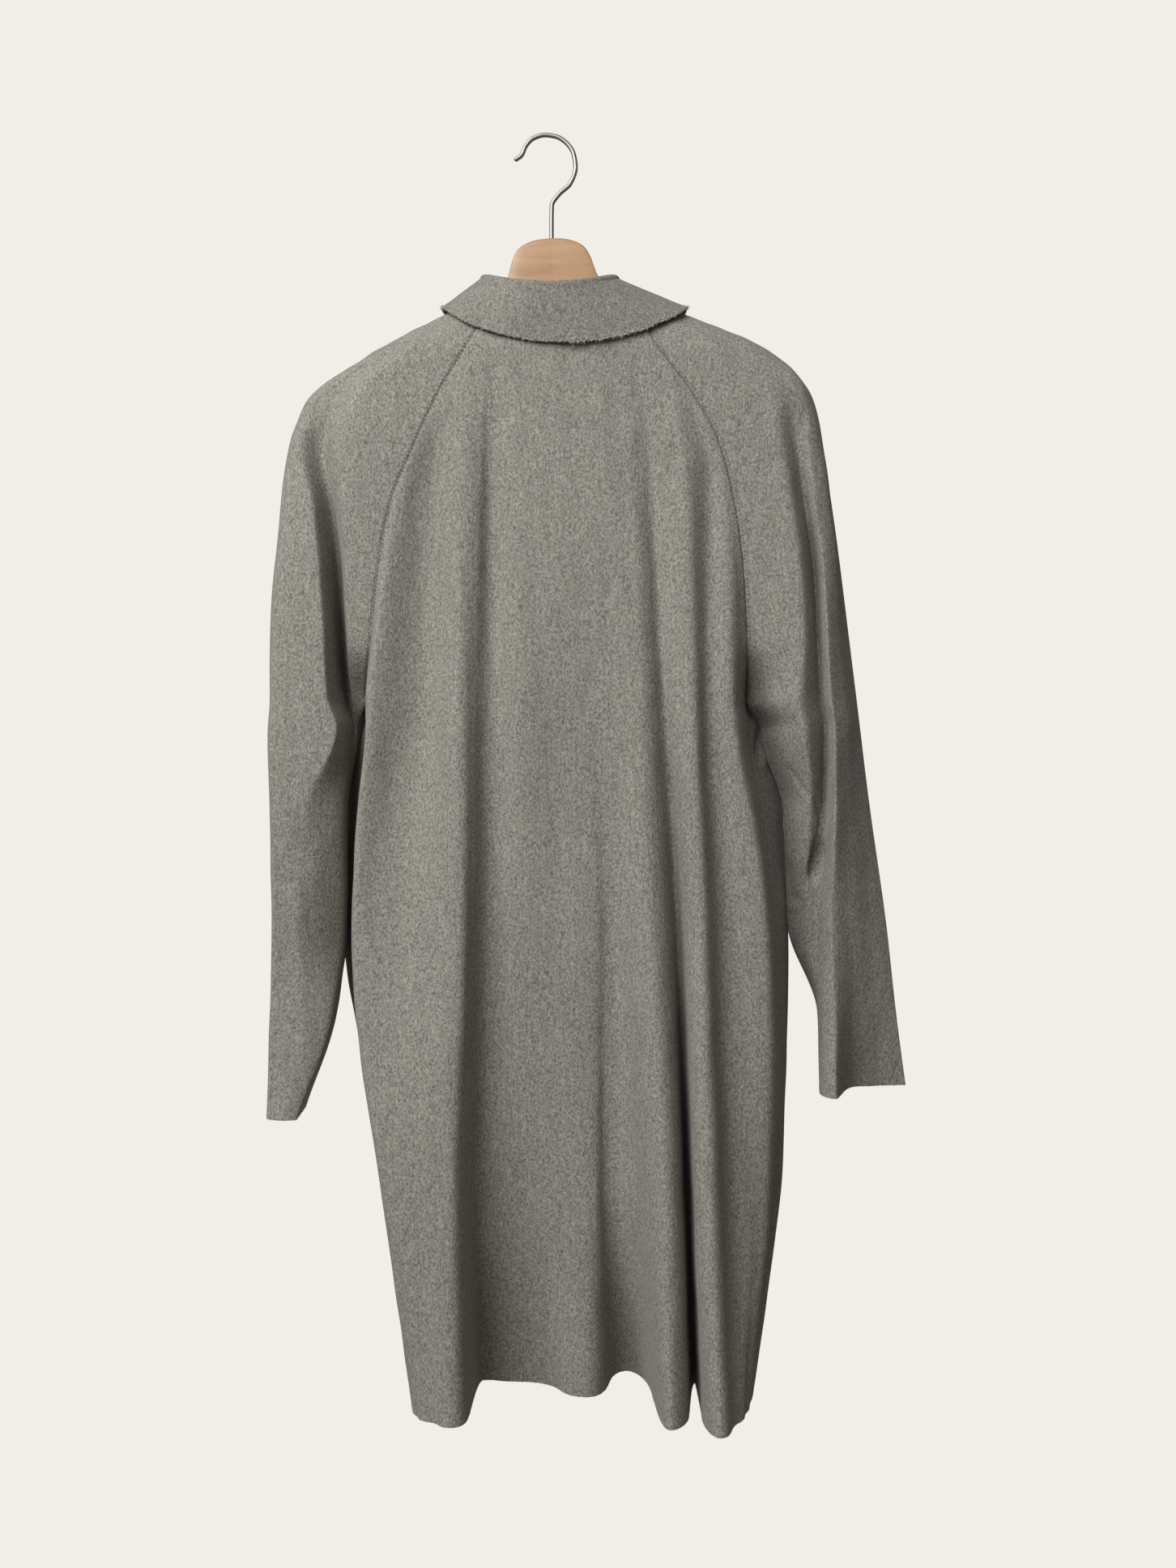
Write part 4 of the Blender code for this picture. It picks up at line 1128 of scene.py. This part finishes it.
class Nodes:
    """Adds and links the nodes of one tree."""

    def __init__(self, tree):
        self.tree = tree

    def add(self, kind, **values):
        node = self.tree.nodes.new(kind)
        for name, value in values.items():
            setattr(node, name, value)
        return node

    def join(self, source, target):
        self.tree.links.new(source, target)

    def noise(self, kind, rotation=UNTURNED):
        """Noise over object coordinates in metres, stretched and turned."""
        coordinates = self.add("ShaderNodeTexCoord")
        mapping = self.add("ShaderNodeMapping")
        mapping.inputs["Scale"].default_value = kind.stretch
        mapping.inputs["Rotation"].default_value = rotation
        node = self.add("ShaderNodeTexNoise")
        node.inputs["Scale"].default_value = kind.scale
        node.inputs["Detail"].default_value = kind.detail
        node.inputs["Roughness"].default_value = kind.roughness
        self.join(coordinates.outputs["Object"], mapping.inputs["Vector"])
        self.join(mapping.outputs["Vector"], node.inputs["Vector"])
        return node.outputs["Fac"]

    def ranged(self, value, span):
        node = self.add("ShaderNodeMapRange")
        for label, setting in zip(("From Min", "From Max", "To Min", "To Max"), span):
            node.inputs[label].default_value = setting
        self.join(value, node.inputs["Value"])
        return node.outputs["Result"]

    def mixed(self, share, first, second):
        node = self.add("ShaderNodeMix", data_type="RGBA")
        colours = [socket for socket in node.inputs if socket.type == "RGBA"]
        self.join(share, node.inputs[0])
        self.join(first, colours[0])
        self.join(second, colours[1])
        return next(socket for socket in node.outputs if socket.type == "RGBA")

    def worked_out(self, operation, first, second):
        node = self.add("ShaderNodeMath", operation=operation)
        self.join(first, node.inputs[0])
        self.join(second, node.inputs[1])
        return node.outputs["Value"]

    def shaded(self, colour, value):
        """A colour brightened or darkened by a value."""
        node = self.add("ShaderNodeVectorMath", operation="SCALE")
        self.join(colour, node.inputs[0])
        self.join(value, node.inputs["Scale"])
        return node.outputs["Vector"]


def new_group(name, colours):
    """A shader node group from colours to a finish; returns it with its helpers, inputs and outputs."""
    group = bpy.data.node_groups.new(name, "ShaderNodeTree")
    for colour in colours:
        group.interface.new_socket(name=colour, in_out="INPUT", socket_type="NodeSocketColor")
    group.interface.new_socket(name="Colour", in_out="OUTPUT", socket_type="NodeSocketColor")
    for label in ("Height", "Roughness"):
        group.interface.new_socket(name=label, in_out="OUTPUT", socket_type="NodeSocketFloat")
    nodes = Nodes(group)
    return group, nodes, nodes.add("NodeGroupInput").outputs, nodes.add("NodeGroupOutput").inputs


def wool_group():
    """Felted wool: light and dark fibres in short upright streaks, dark specks and slow changes of tone."""
    name = "felted_wool"
    if name in bpy.data.node_groups:
        return bpy.data.node_groups[name]
    group, nodes, given, made = new_group(name, ("Light", "Dark", "Speck"))
    fibres = nodes.noise(WOOL_FIBRES)
    streaks = nodes.noise(WOOL_STREAKS)
    specks = nodes.noise(WOOL_SPECKS)
    patches = nodes.noise(WOOL_PATCHES)
    colour = nodes.mixed(nodes.ranged(fibres, FIBRE_BLEND), given["Dark"], given["Light"])
    colour = nodes.shaded(colour, nodes.ranged(streaks, STREAK_TONE))
    colour = nodes.mixed(nodes.ranged(specks, SPECK_BLEND), colour, given["Speck"])
    colour = nodes.shaded(colour, nodes.ranged(patches, PATCH_TONE))
    streaked = nodes.worked_out("MULTIPLY", streaks, fibres)
    nodes.join(colour, made["Colour"])
    nodes.join(nodes.worked_out("ADD", fibres, streaked), made["Height"])
    nodes.join(nodes.ranged(fibres, WOOL_ROUGHNESS), made["Roughness"])
    return group


def grain_group():
    """Pale wood: soft growth rings crossing the arm at a slant, and fine pores along it."""
    name = "pale_wood_grain"
    if name in bpy.data.node_groups:
        return bpy.data.node_groups[name]
    group, nodes, given, made = new_group(name, ("Light", "Dark", "Pore"))
    rings = nodes.noise(WOOD_RINGS, GRAIN_SLANT)
    pores = nodes.noise(WOOD_PORES, GRAIN_SLANT)
    colour = nodes.mixed(nodes.ranged(rings, RING_BLEND), given["Light"], given["Dark"])
    colour = nodes.mixed(nodes.ranged(pores, PORE_BLEND), colour, given["Pore"])
    nodes.join(colour, made["Colour"])
    nodes.join(pores, made["Height"])
    nodes.join(nodes.ranged(rings, WOOD_ROUGHNESS), made["Roughness"])
    return group


def new_material(name, finish):
    """A material with a Principled shader set to a finish; returns it with its helpers and the shader."""
    material = bpy.data.materials.new(name)
    material.use_nodes = True
    shader = material.node_tree.nodes["Principled BSDF"]
    for label, setting in finish.items():
        shader.inputs[label].default_value = setting
    return material, Nodes(material.node_tree), shader


def grouped_material(name, group, colours, wanted_bump, finish):
    """A material whose colour, roughness and bump come from a node group."""
    material, nodes, shader = new_material(name, finish)
    effect = nodes.add("ShaderNodeGroup", node_tree=group)
    for label, colour in colours.items():
        effect.inputs[label].default_value = colour
    bump = nodes.add("ShaderNodeBump")
    bump.inputs["Strength"].default_value = wanted_bump.strength
    bump.inputs["Distance"].default_value = wanted_bump.height
    nodes.join(effect.outputs["Colour"], shader.inputs["Base Color"])
    nodes.join(effect.outputs["Roughness"], shader.inputs["Roughness"])
    nodes.join(effect.outputs["Height"], bump.inputs["Height"])
    nodes.join(bump.outputs["Normal"], shader.inputs["Normal"])
    return material


def toned(colour, lift):
    """A colour so many times lighter."""
    return (colour[0] * lift, colour[1] * lift, colour[2] * lift, 1.0)


def wool_material(cloth, name="wool_felt", lift=1.0):
    # lift gives lighter or darker copies of the wool, used to paint light onto the fibres and shade onto the
    # collar
    if name in bpy.data.materials:
        return bpy.data.materials[name]
    colours = {
        "Light": toned(cloth.wool_light, lift),
        "Dark": toned(cloth.wool_dark, lift),
        "Speck": toned(cloth.wool_speck, lift),
    }
    return grouped_material(name, wool_group(), colours, WOOL_BUMP, WOOL_FINISH)


def thread_material(cloth):
    dark = cloth.thread_colour
    colours = {"Light": toned(dark, THREAD_LIFT), "Dark": dark, "Speck": dark}
    return grouped_material("wool_thread", wool_group(), colours, THREAD_BUMP, {})


def wood_material(name, light, dark, pore):
    colours = {"Light": light, "Dark": dark, "Pore": pore}
    return grouped_material(name, grain_group(), colours, WOOD_BUMP, WOOD_FINISH)


def steel_material(hanger):
    material, nodes, shader = new_material("drawn_steel", STEEL_FINISH)
    marks = nodes.noise(STEEL_MARKS)
    ramp = nodes.add("ShaderNodeValToRGB")
    ramp.color_ramp.elements[0].color = hanger.steel_dark
    ramp.color_ramp.elements[1].color = hanger.steel
    nodes.join(marks, ramp.inputs["Fac"])
    nodes.join(ramp.outputs["Color"], shader.inputs["Base Color"])
    nodes.join(nodes.ranged(marks, STEEL_ROUGHNESS), shader.inputs["Roughness"])
    return material


def colour_property(name, description, default):
    return bpy.props.FloatVectorProperty(
        name=name,
        description=description,
        default=default,
        subtype="COLOR",
        size=4,
        min=0.0,
        max=1.0,
    )


def length_property(name, description, default):
    return bpy.props.FloatProperty(
        name=name, description=description, default=default, unit="LENGTH", min=0.0, precision=5
    )


class CoatCloth(bpy.types.PropertyGroup):
    """Sizes and colours of the coat's cloth, stitches and frayed edges."""

    thickness: length_property("Thickness", "Thickness of the felted cloth", 0.002)
    seam_gap: length_property("Seam gap", "Gap between two panels at a seam", 0.0003)
    crease_strength: bpy.props.FloatProperty(
        name="Creases", description="How strongly the creases show", default=1.0, min=0.0, max=2.0
    )
    stitch_length: length_property("Stitch length", "Length of one topstitch", 0.0022)
    stitch_gap: length_property("Stitch gap", "Gap between two topstitches", 0.0012)
    fray_length: length_property("Fray length", "Length of the fibres at a raw edge", 0.003)
    wool_light: colour_property("Light wool", "Colour of the light fibres", (0.402, 0.379, 0.333, 1.0))
    wool_dark: colour_property("Dark wool", "Colour of the dark fibres", (0.143, 0.135, 0.118, 1.0))
    wool_speck: colour_property("Specks", "Colour of the dark specks", (0.055, 0.050, 0.043, 1.0))
    thread_colour: colour_property("Thread", "Colour of the topstitching", (0.10, 0.094, 0.082, 1.0))


class CoatHanger(bpy.types.PropertyGroup):
    """Colours of the wooden hanger and its hook."""

    left_light: colour_property("Left arm", "Pale wood of the left arm", (0.51, 0.295, 0.155, 1.0))
    left_dark: colour_property("Left rings", "Darker rings of the left arm", (0.42, 0.23, 0.112, 1.0))
    right_light: colour_property("Right arm", "Pale wood of the right arm", (0.525, 0.315, 0.168, 1.0))
    right_dark: colour_property("Right rings", "Darker rings of the right arm", (0.45, 0.252, 0.125, 1.0))
    pores: colour_property("Pores", "Colour of the pores", (0.30, 0.16, 0.075, 1.0))
    steel: colour_property("Steel", "Colour of the hook", (0.40, 0.40, 0.39, 1.0))
    steel_dark: colour_property("Drawing marks", "Darker marks of the drawn wire", (0.36, 0.36, 0.35, 1.0))


class CoatStage(bpy.types.PropertyGroup):
    """Colour of the backdrop and strength of the lights."""

    backdrop: colour_property("Backdrop", "Colour of the floor and backdrop", (0.88, 0.855, 0.80, 1.0))
    fill: bpy.props.FloatProperty(
        name="Fill", description="Share of the backdrop's light that reaches the coat", default=0.17, min=0.0
    )
    power: bpy.props.FloatProperty(
        name="Lights", description="Power of the key light", default=102.0, min=0.0, unit="POWER"
    )


class COAT_OT_body(bpy.types.Operator):
    """Build the back panel and the two fronts"""

    bl_idname = "coat.body"
    bl_label = "Body panels"

    def execute(self, context):
        add_panels(context, ("back", "front_left", "front_right"))
        return {"FINISHED"}


class COAT_OT_sleeves(bpy.types.Operator):
    """Build the back and front halves of both raglan sleeves"""

    bl_idname = "coat.sleeves"
    bl_label = "Sleeves"

    def execute(self, context):
        names = ("sleeve_left_back", "sleeve_left_front", "sleeve_right_back", "sleeve_right_front")
        add_panels(context, names)
        return {"FINISHED"}


class COAT_OT_collar(bpy.types.Operator):
    """Build the folded collar"""

    bl_idname = "coat.collar"
    bl_label = "Collar"

    def execute(self, context):
        cloth = context.scene.coat_cloth
        middle = collar_grid()
        half = normals_of(middle) * cloth.thickness / 2
        # The collar is given a darker copy of the wool, as painted shade
        material = wool_material(cloth, "wool_felt_collar_painted_shade", COLLAR_PAINTED_SHADE)
        add_sheet("collar", *wall_mesh(middle + half, middle - half), material)
        return {"FINISHED"}


class COAT_OT_stitching(bpy.types.Operator):
    """Build the topstitching beside the raglan seams"""

    bl_idname = "coat.stitching"
    bl_label = "Topstitching"

    def execute(self, context):
        cloth = context.scene.coat_cloth
        faces = outer_faces(cloth)
        paths = []
        for row in STITCH_ROWS:
            panel, outer = faces[row.panel]
            paths += stitch_paths(panel, outer, row, cloth)
        radii = np.full(THREAD_STEPS, THREAD_RADIUS * MM)
        vertices, quads = tube_mesh(paths, radii, THREAD_SIDES)
        add_piece("raglan_topstitching", vertices, quads, thread_material(cloth))
        return {"FINISHED"}


class COAT_OT_fray(bpy.types.Operator):
    """Build the loose fibres along the collar, hem and cuffs"""

    bl_idname = "coat.fray"
    bl_label = "Frayed edges"

    def execute(self, context):
        cloth = context.scene.coat_cloth
        chance = np.random.default_rng(FRAY_SEED)
        # The fibres are given a lighter copy of the wool: their own paleness with painted light on top
        material = wool_material(cloth, "wool_fibre_pale_and_painted_light", FIBRE_PALENESS_AND_PAINTED_LIGHT)
        add_fibres("collar_fray", collar_fibres(cloth, chance), YARN_RADIUS, material)
        add_fibres("hem_and_cuff_fray", hem_fibres(cloth, chance), FIBRE_RADIUS, material)
        return {"FINISHED"}


class COAT_OT_hanger(bpy.types.Operator):
    """Build the two wooden arms of the hanger"""

    bl_idname = "coat.hanger"
    bl_label = "Hanger arms"

    def execute(self, context):
        hanger = context.scene.coat_hanger
        rows = np.array(ARM_SECTIONS)
        shares = np.linspace(0.0, 1.0, ARM_RINGS) ** ARM_CROWDING
        places = rows[0, 0] + (rows[-1, 0] - rows[0, 0]) * shares
        tops = smooth_through(rows[:, 0], rows[:, 1], places)
        bottoms = smooth_through(rows[:, 0], rows[:, 2], places)
        arms = (
            ("hanger_arm_left", -1, hanger.left_light, hanger.left_dark),
            ("hanger_arm_right", 1, hanger.right_light, hanger.right_dark),
        )
        for node, side, light, dark in arms:
            rings = [arm_ring(x, top, bottom, side) for x, top, bottom in zip(places, tops, bottoms)]
            vertices, faces = closed_loft(rings if side < 0 else rings[::-1])
            material = wood_material(node + "_wood", light, dark, hanger.pores)
            add_piece(node + "_wood", vertices, faces, material, node)
        return {"FINISHED"}


class COAT_OT_hook(bpy.types.Operator):
    """Build the hanger's wire hook"""

    bl_idname = "coat.hook"
    bl_label = "Hook"

    def execute(self, context):
        vertices, faces = closed_loft(hook_rings()[::-1])
        material = steel_material(context.scene.coat_hanger)
        add_piece("hanger_hook_wire", vertices, faces, material, "hanger_hook")
        return {"FINISHED"}


def add_backdrop(stage):
    """A pale floor that curves up into a backdrop all round."""
    vertices = []
    for radius, height in BACKDROP_PROFILE:
        for angle in np.linspace(0.0, 2 * math.pi, BACKDROP_STEPS, endpoint=False):
            vertices.append((radius * math.cos(angle), radius * math.sin(angle), height))
    mesh = bpy.data.meshes.new("backdrop")
    mesh.from_pydata(vertices, [], loft_faces(len(BACKDROP_PROFILE), BACKDROP_STEPS))
    mesh.shade_smooth()
    material, nodes, shader = new_material("backdrop_paper", BACKDROP_FINISH)
    path = nodes.add("ShaderNodeLightPath")
    shader.inputs["Emission Color"].default_value = stage.backdrop
    strength = nodes.ranged(path.outputs["Is Camera Ray"], Range(0.0, 1.0, stage.fill, 1.0))
    nodes.join(strength, shader.inputs["Emission Strength"])
    material.cycles.emission_sampling = "NONE"
    mesh.materials.append(material)
    backdrop = bpy.data.objects.new("backdrop", mesh)
    bpy.context.scene.collection.objects.link(backdrop)


def aim(thing, target):
    """Turns a light or camera's -Z towards a point."""
    from_here = np.array(target) - np.array(thing.location)
    flat = math.hypot(from_here[0], from_here[1])
    tilt = math.atan2(flat, -from_here[2])
    turn = math.atan2(from_here[1], from_here[0]) - math.pi / 2
    thing.rotation_euler = (tilt, 0.0, turn)


class COAT_OT_stage(bpy.types.Operator):
    """Build the pale floor and backdrop, the soft lights and the camera"""

    bl_idname = "coat.stage"
    bl_label = "Stage"

    def execute(self, context):
        scene = context.scene
        stage = scene.coat_stage
        add_backdrop(stage)
        for row in LIGHTS:
            data = bpy.data.lights.new(row.name, "AREA")
            data.shape = "SQUARE"
            data.size = row.size
            data.energy = stage.power * row.share
            light = bpy.data.objects.new(row.name, data)
            light.location = row.place
            light.visible_camera = False
            light.visible_glossy = row.shines
            aim(light, LIGHT_TARGET)
            scene.collection.objects.link(light)
        data = bpy.data.cameras.new("camera")
        data.lens = CAMERA_LENS
        data.sensor_width = SENSOR
        camera = bpy.data.objects.new("camera", data)
        camera.location = CAMERA_PLACE
        camera.rotation_euler = (math.pi / 2, 0.0, 0.0)
        scene.collection.objects.link(camera)
        scene.camera = camera
        scene.view_settings.view_transform = "Standard"
        return {"FINISHED"}


OPERATORS = (
    COAT_OT_body,
    COAT_OT_sleeves,
    COAT_OT_collar,
    COAT_OT_stitching,
    COAT_OT_fray,
    COAT_OT_hanger,
    COAT_OT_hook,
    COAT_OT_stage,
)
SETTINGS = {"coat_cloth": CoatCloth, "coat_hanger": CoatHanger, "coat_stage": CoatStage}


class COAT_PT_panel(bpy.types.Panel):
    """Lists the coat's pieces and settings"""

    bl_idname = "COAT_PT_panel"
    bl_label = "Raglan coat"
    bl_space_type = "VIEW_3D"
    bl_region_type = "UI"
    bl_category = "Coat"

    def draw(self, context):
        for name, kind in SETTINGS.items():
            box = self.layout.box()
            settings = getattr(context.scene, name)
            for label in kind.__annotations__:
                box.prop(settings, label)
        for operator in OPERATORS:
            self.layout.operator(operator.bl_idname)


def register():
    for kind in (*SETTINGS.values(), *OPERATORS, COAT_PT_panel):
        bpy.utils.register_class(kind)
    for name, kind in SETTINGS.items():
        setattr(bpy.types.Scene, name, bpy.props.PointerProperty(type=kind))


def unregister():
    for name in SETTINGS:
        delattr(bpy.types.Scene, name)
    for kind in reversed((*SETTINGS.values(), *OPERATORS, COAT_PT_panel)):
        bpy.utils.unregister_class(kind)


def main():
    register()
    bpy.ops.coat.body()
    bpy.ops.coat.sleeves()
    bpy.ops.coat.collar()
    bpy.ops.coat.stitching()
    bpy.ops.coat.fray()
    bpy.ops.coat.hanger()
    bpy.ops.coat.hook()
    bpy.ops.coat.stage()


if __name__ == "__main__":
    main()
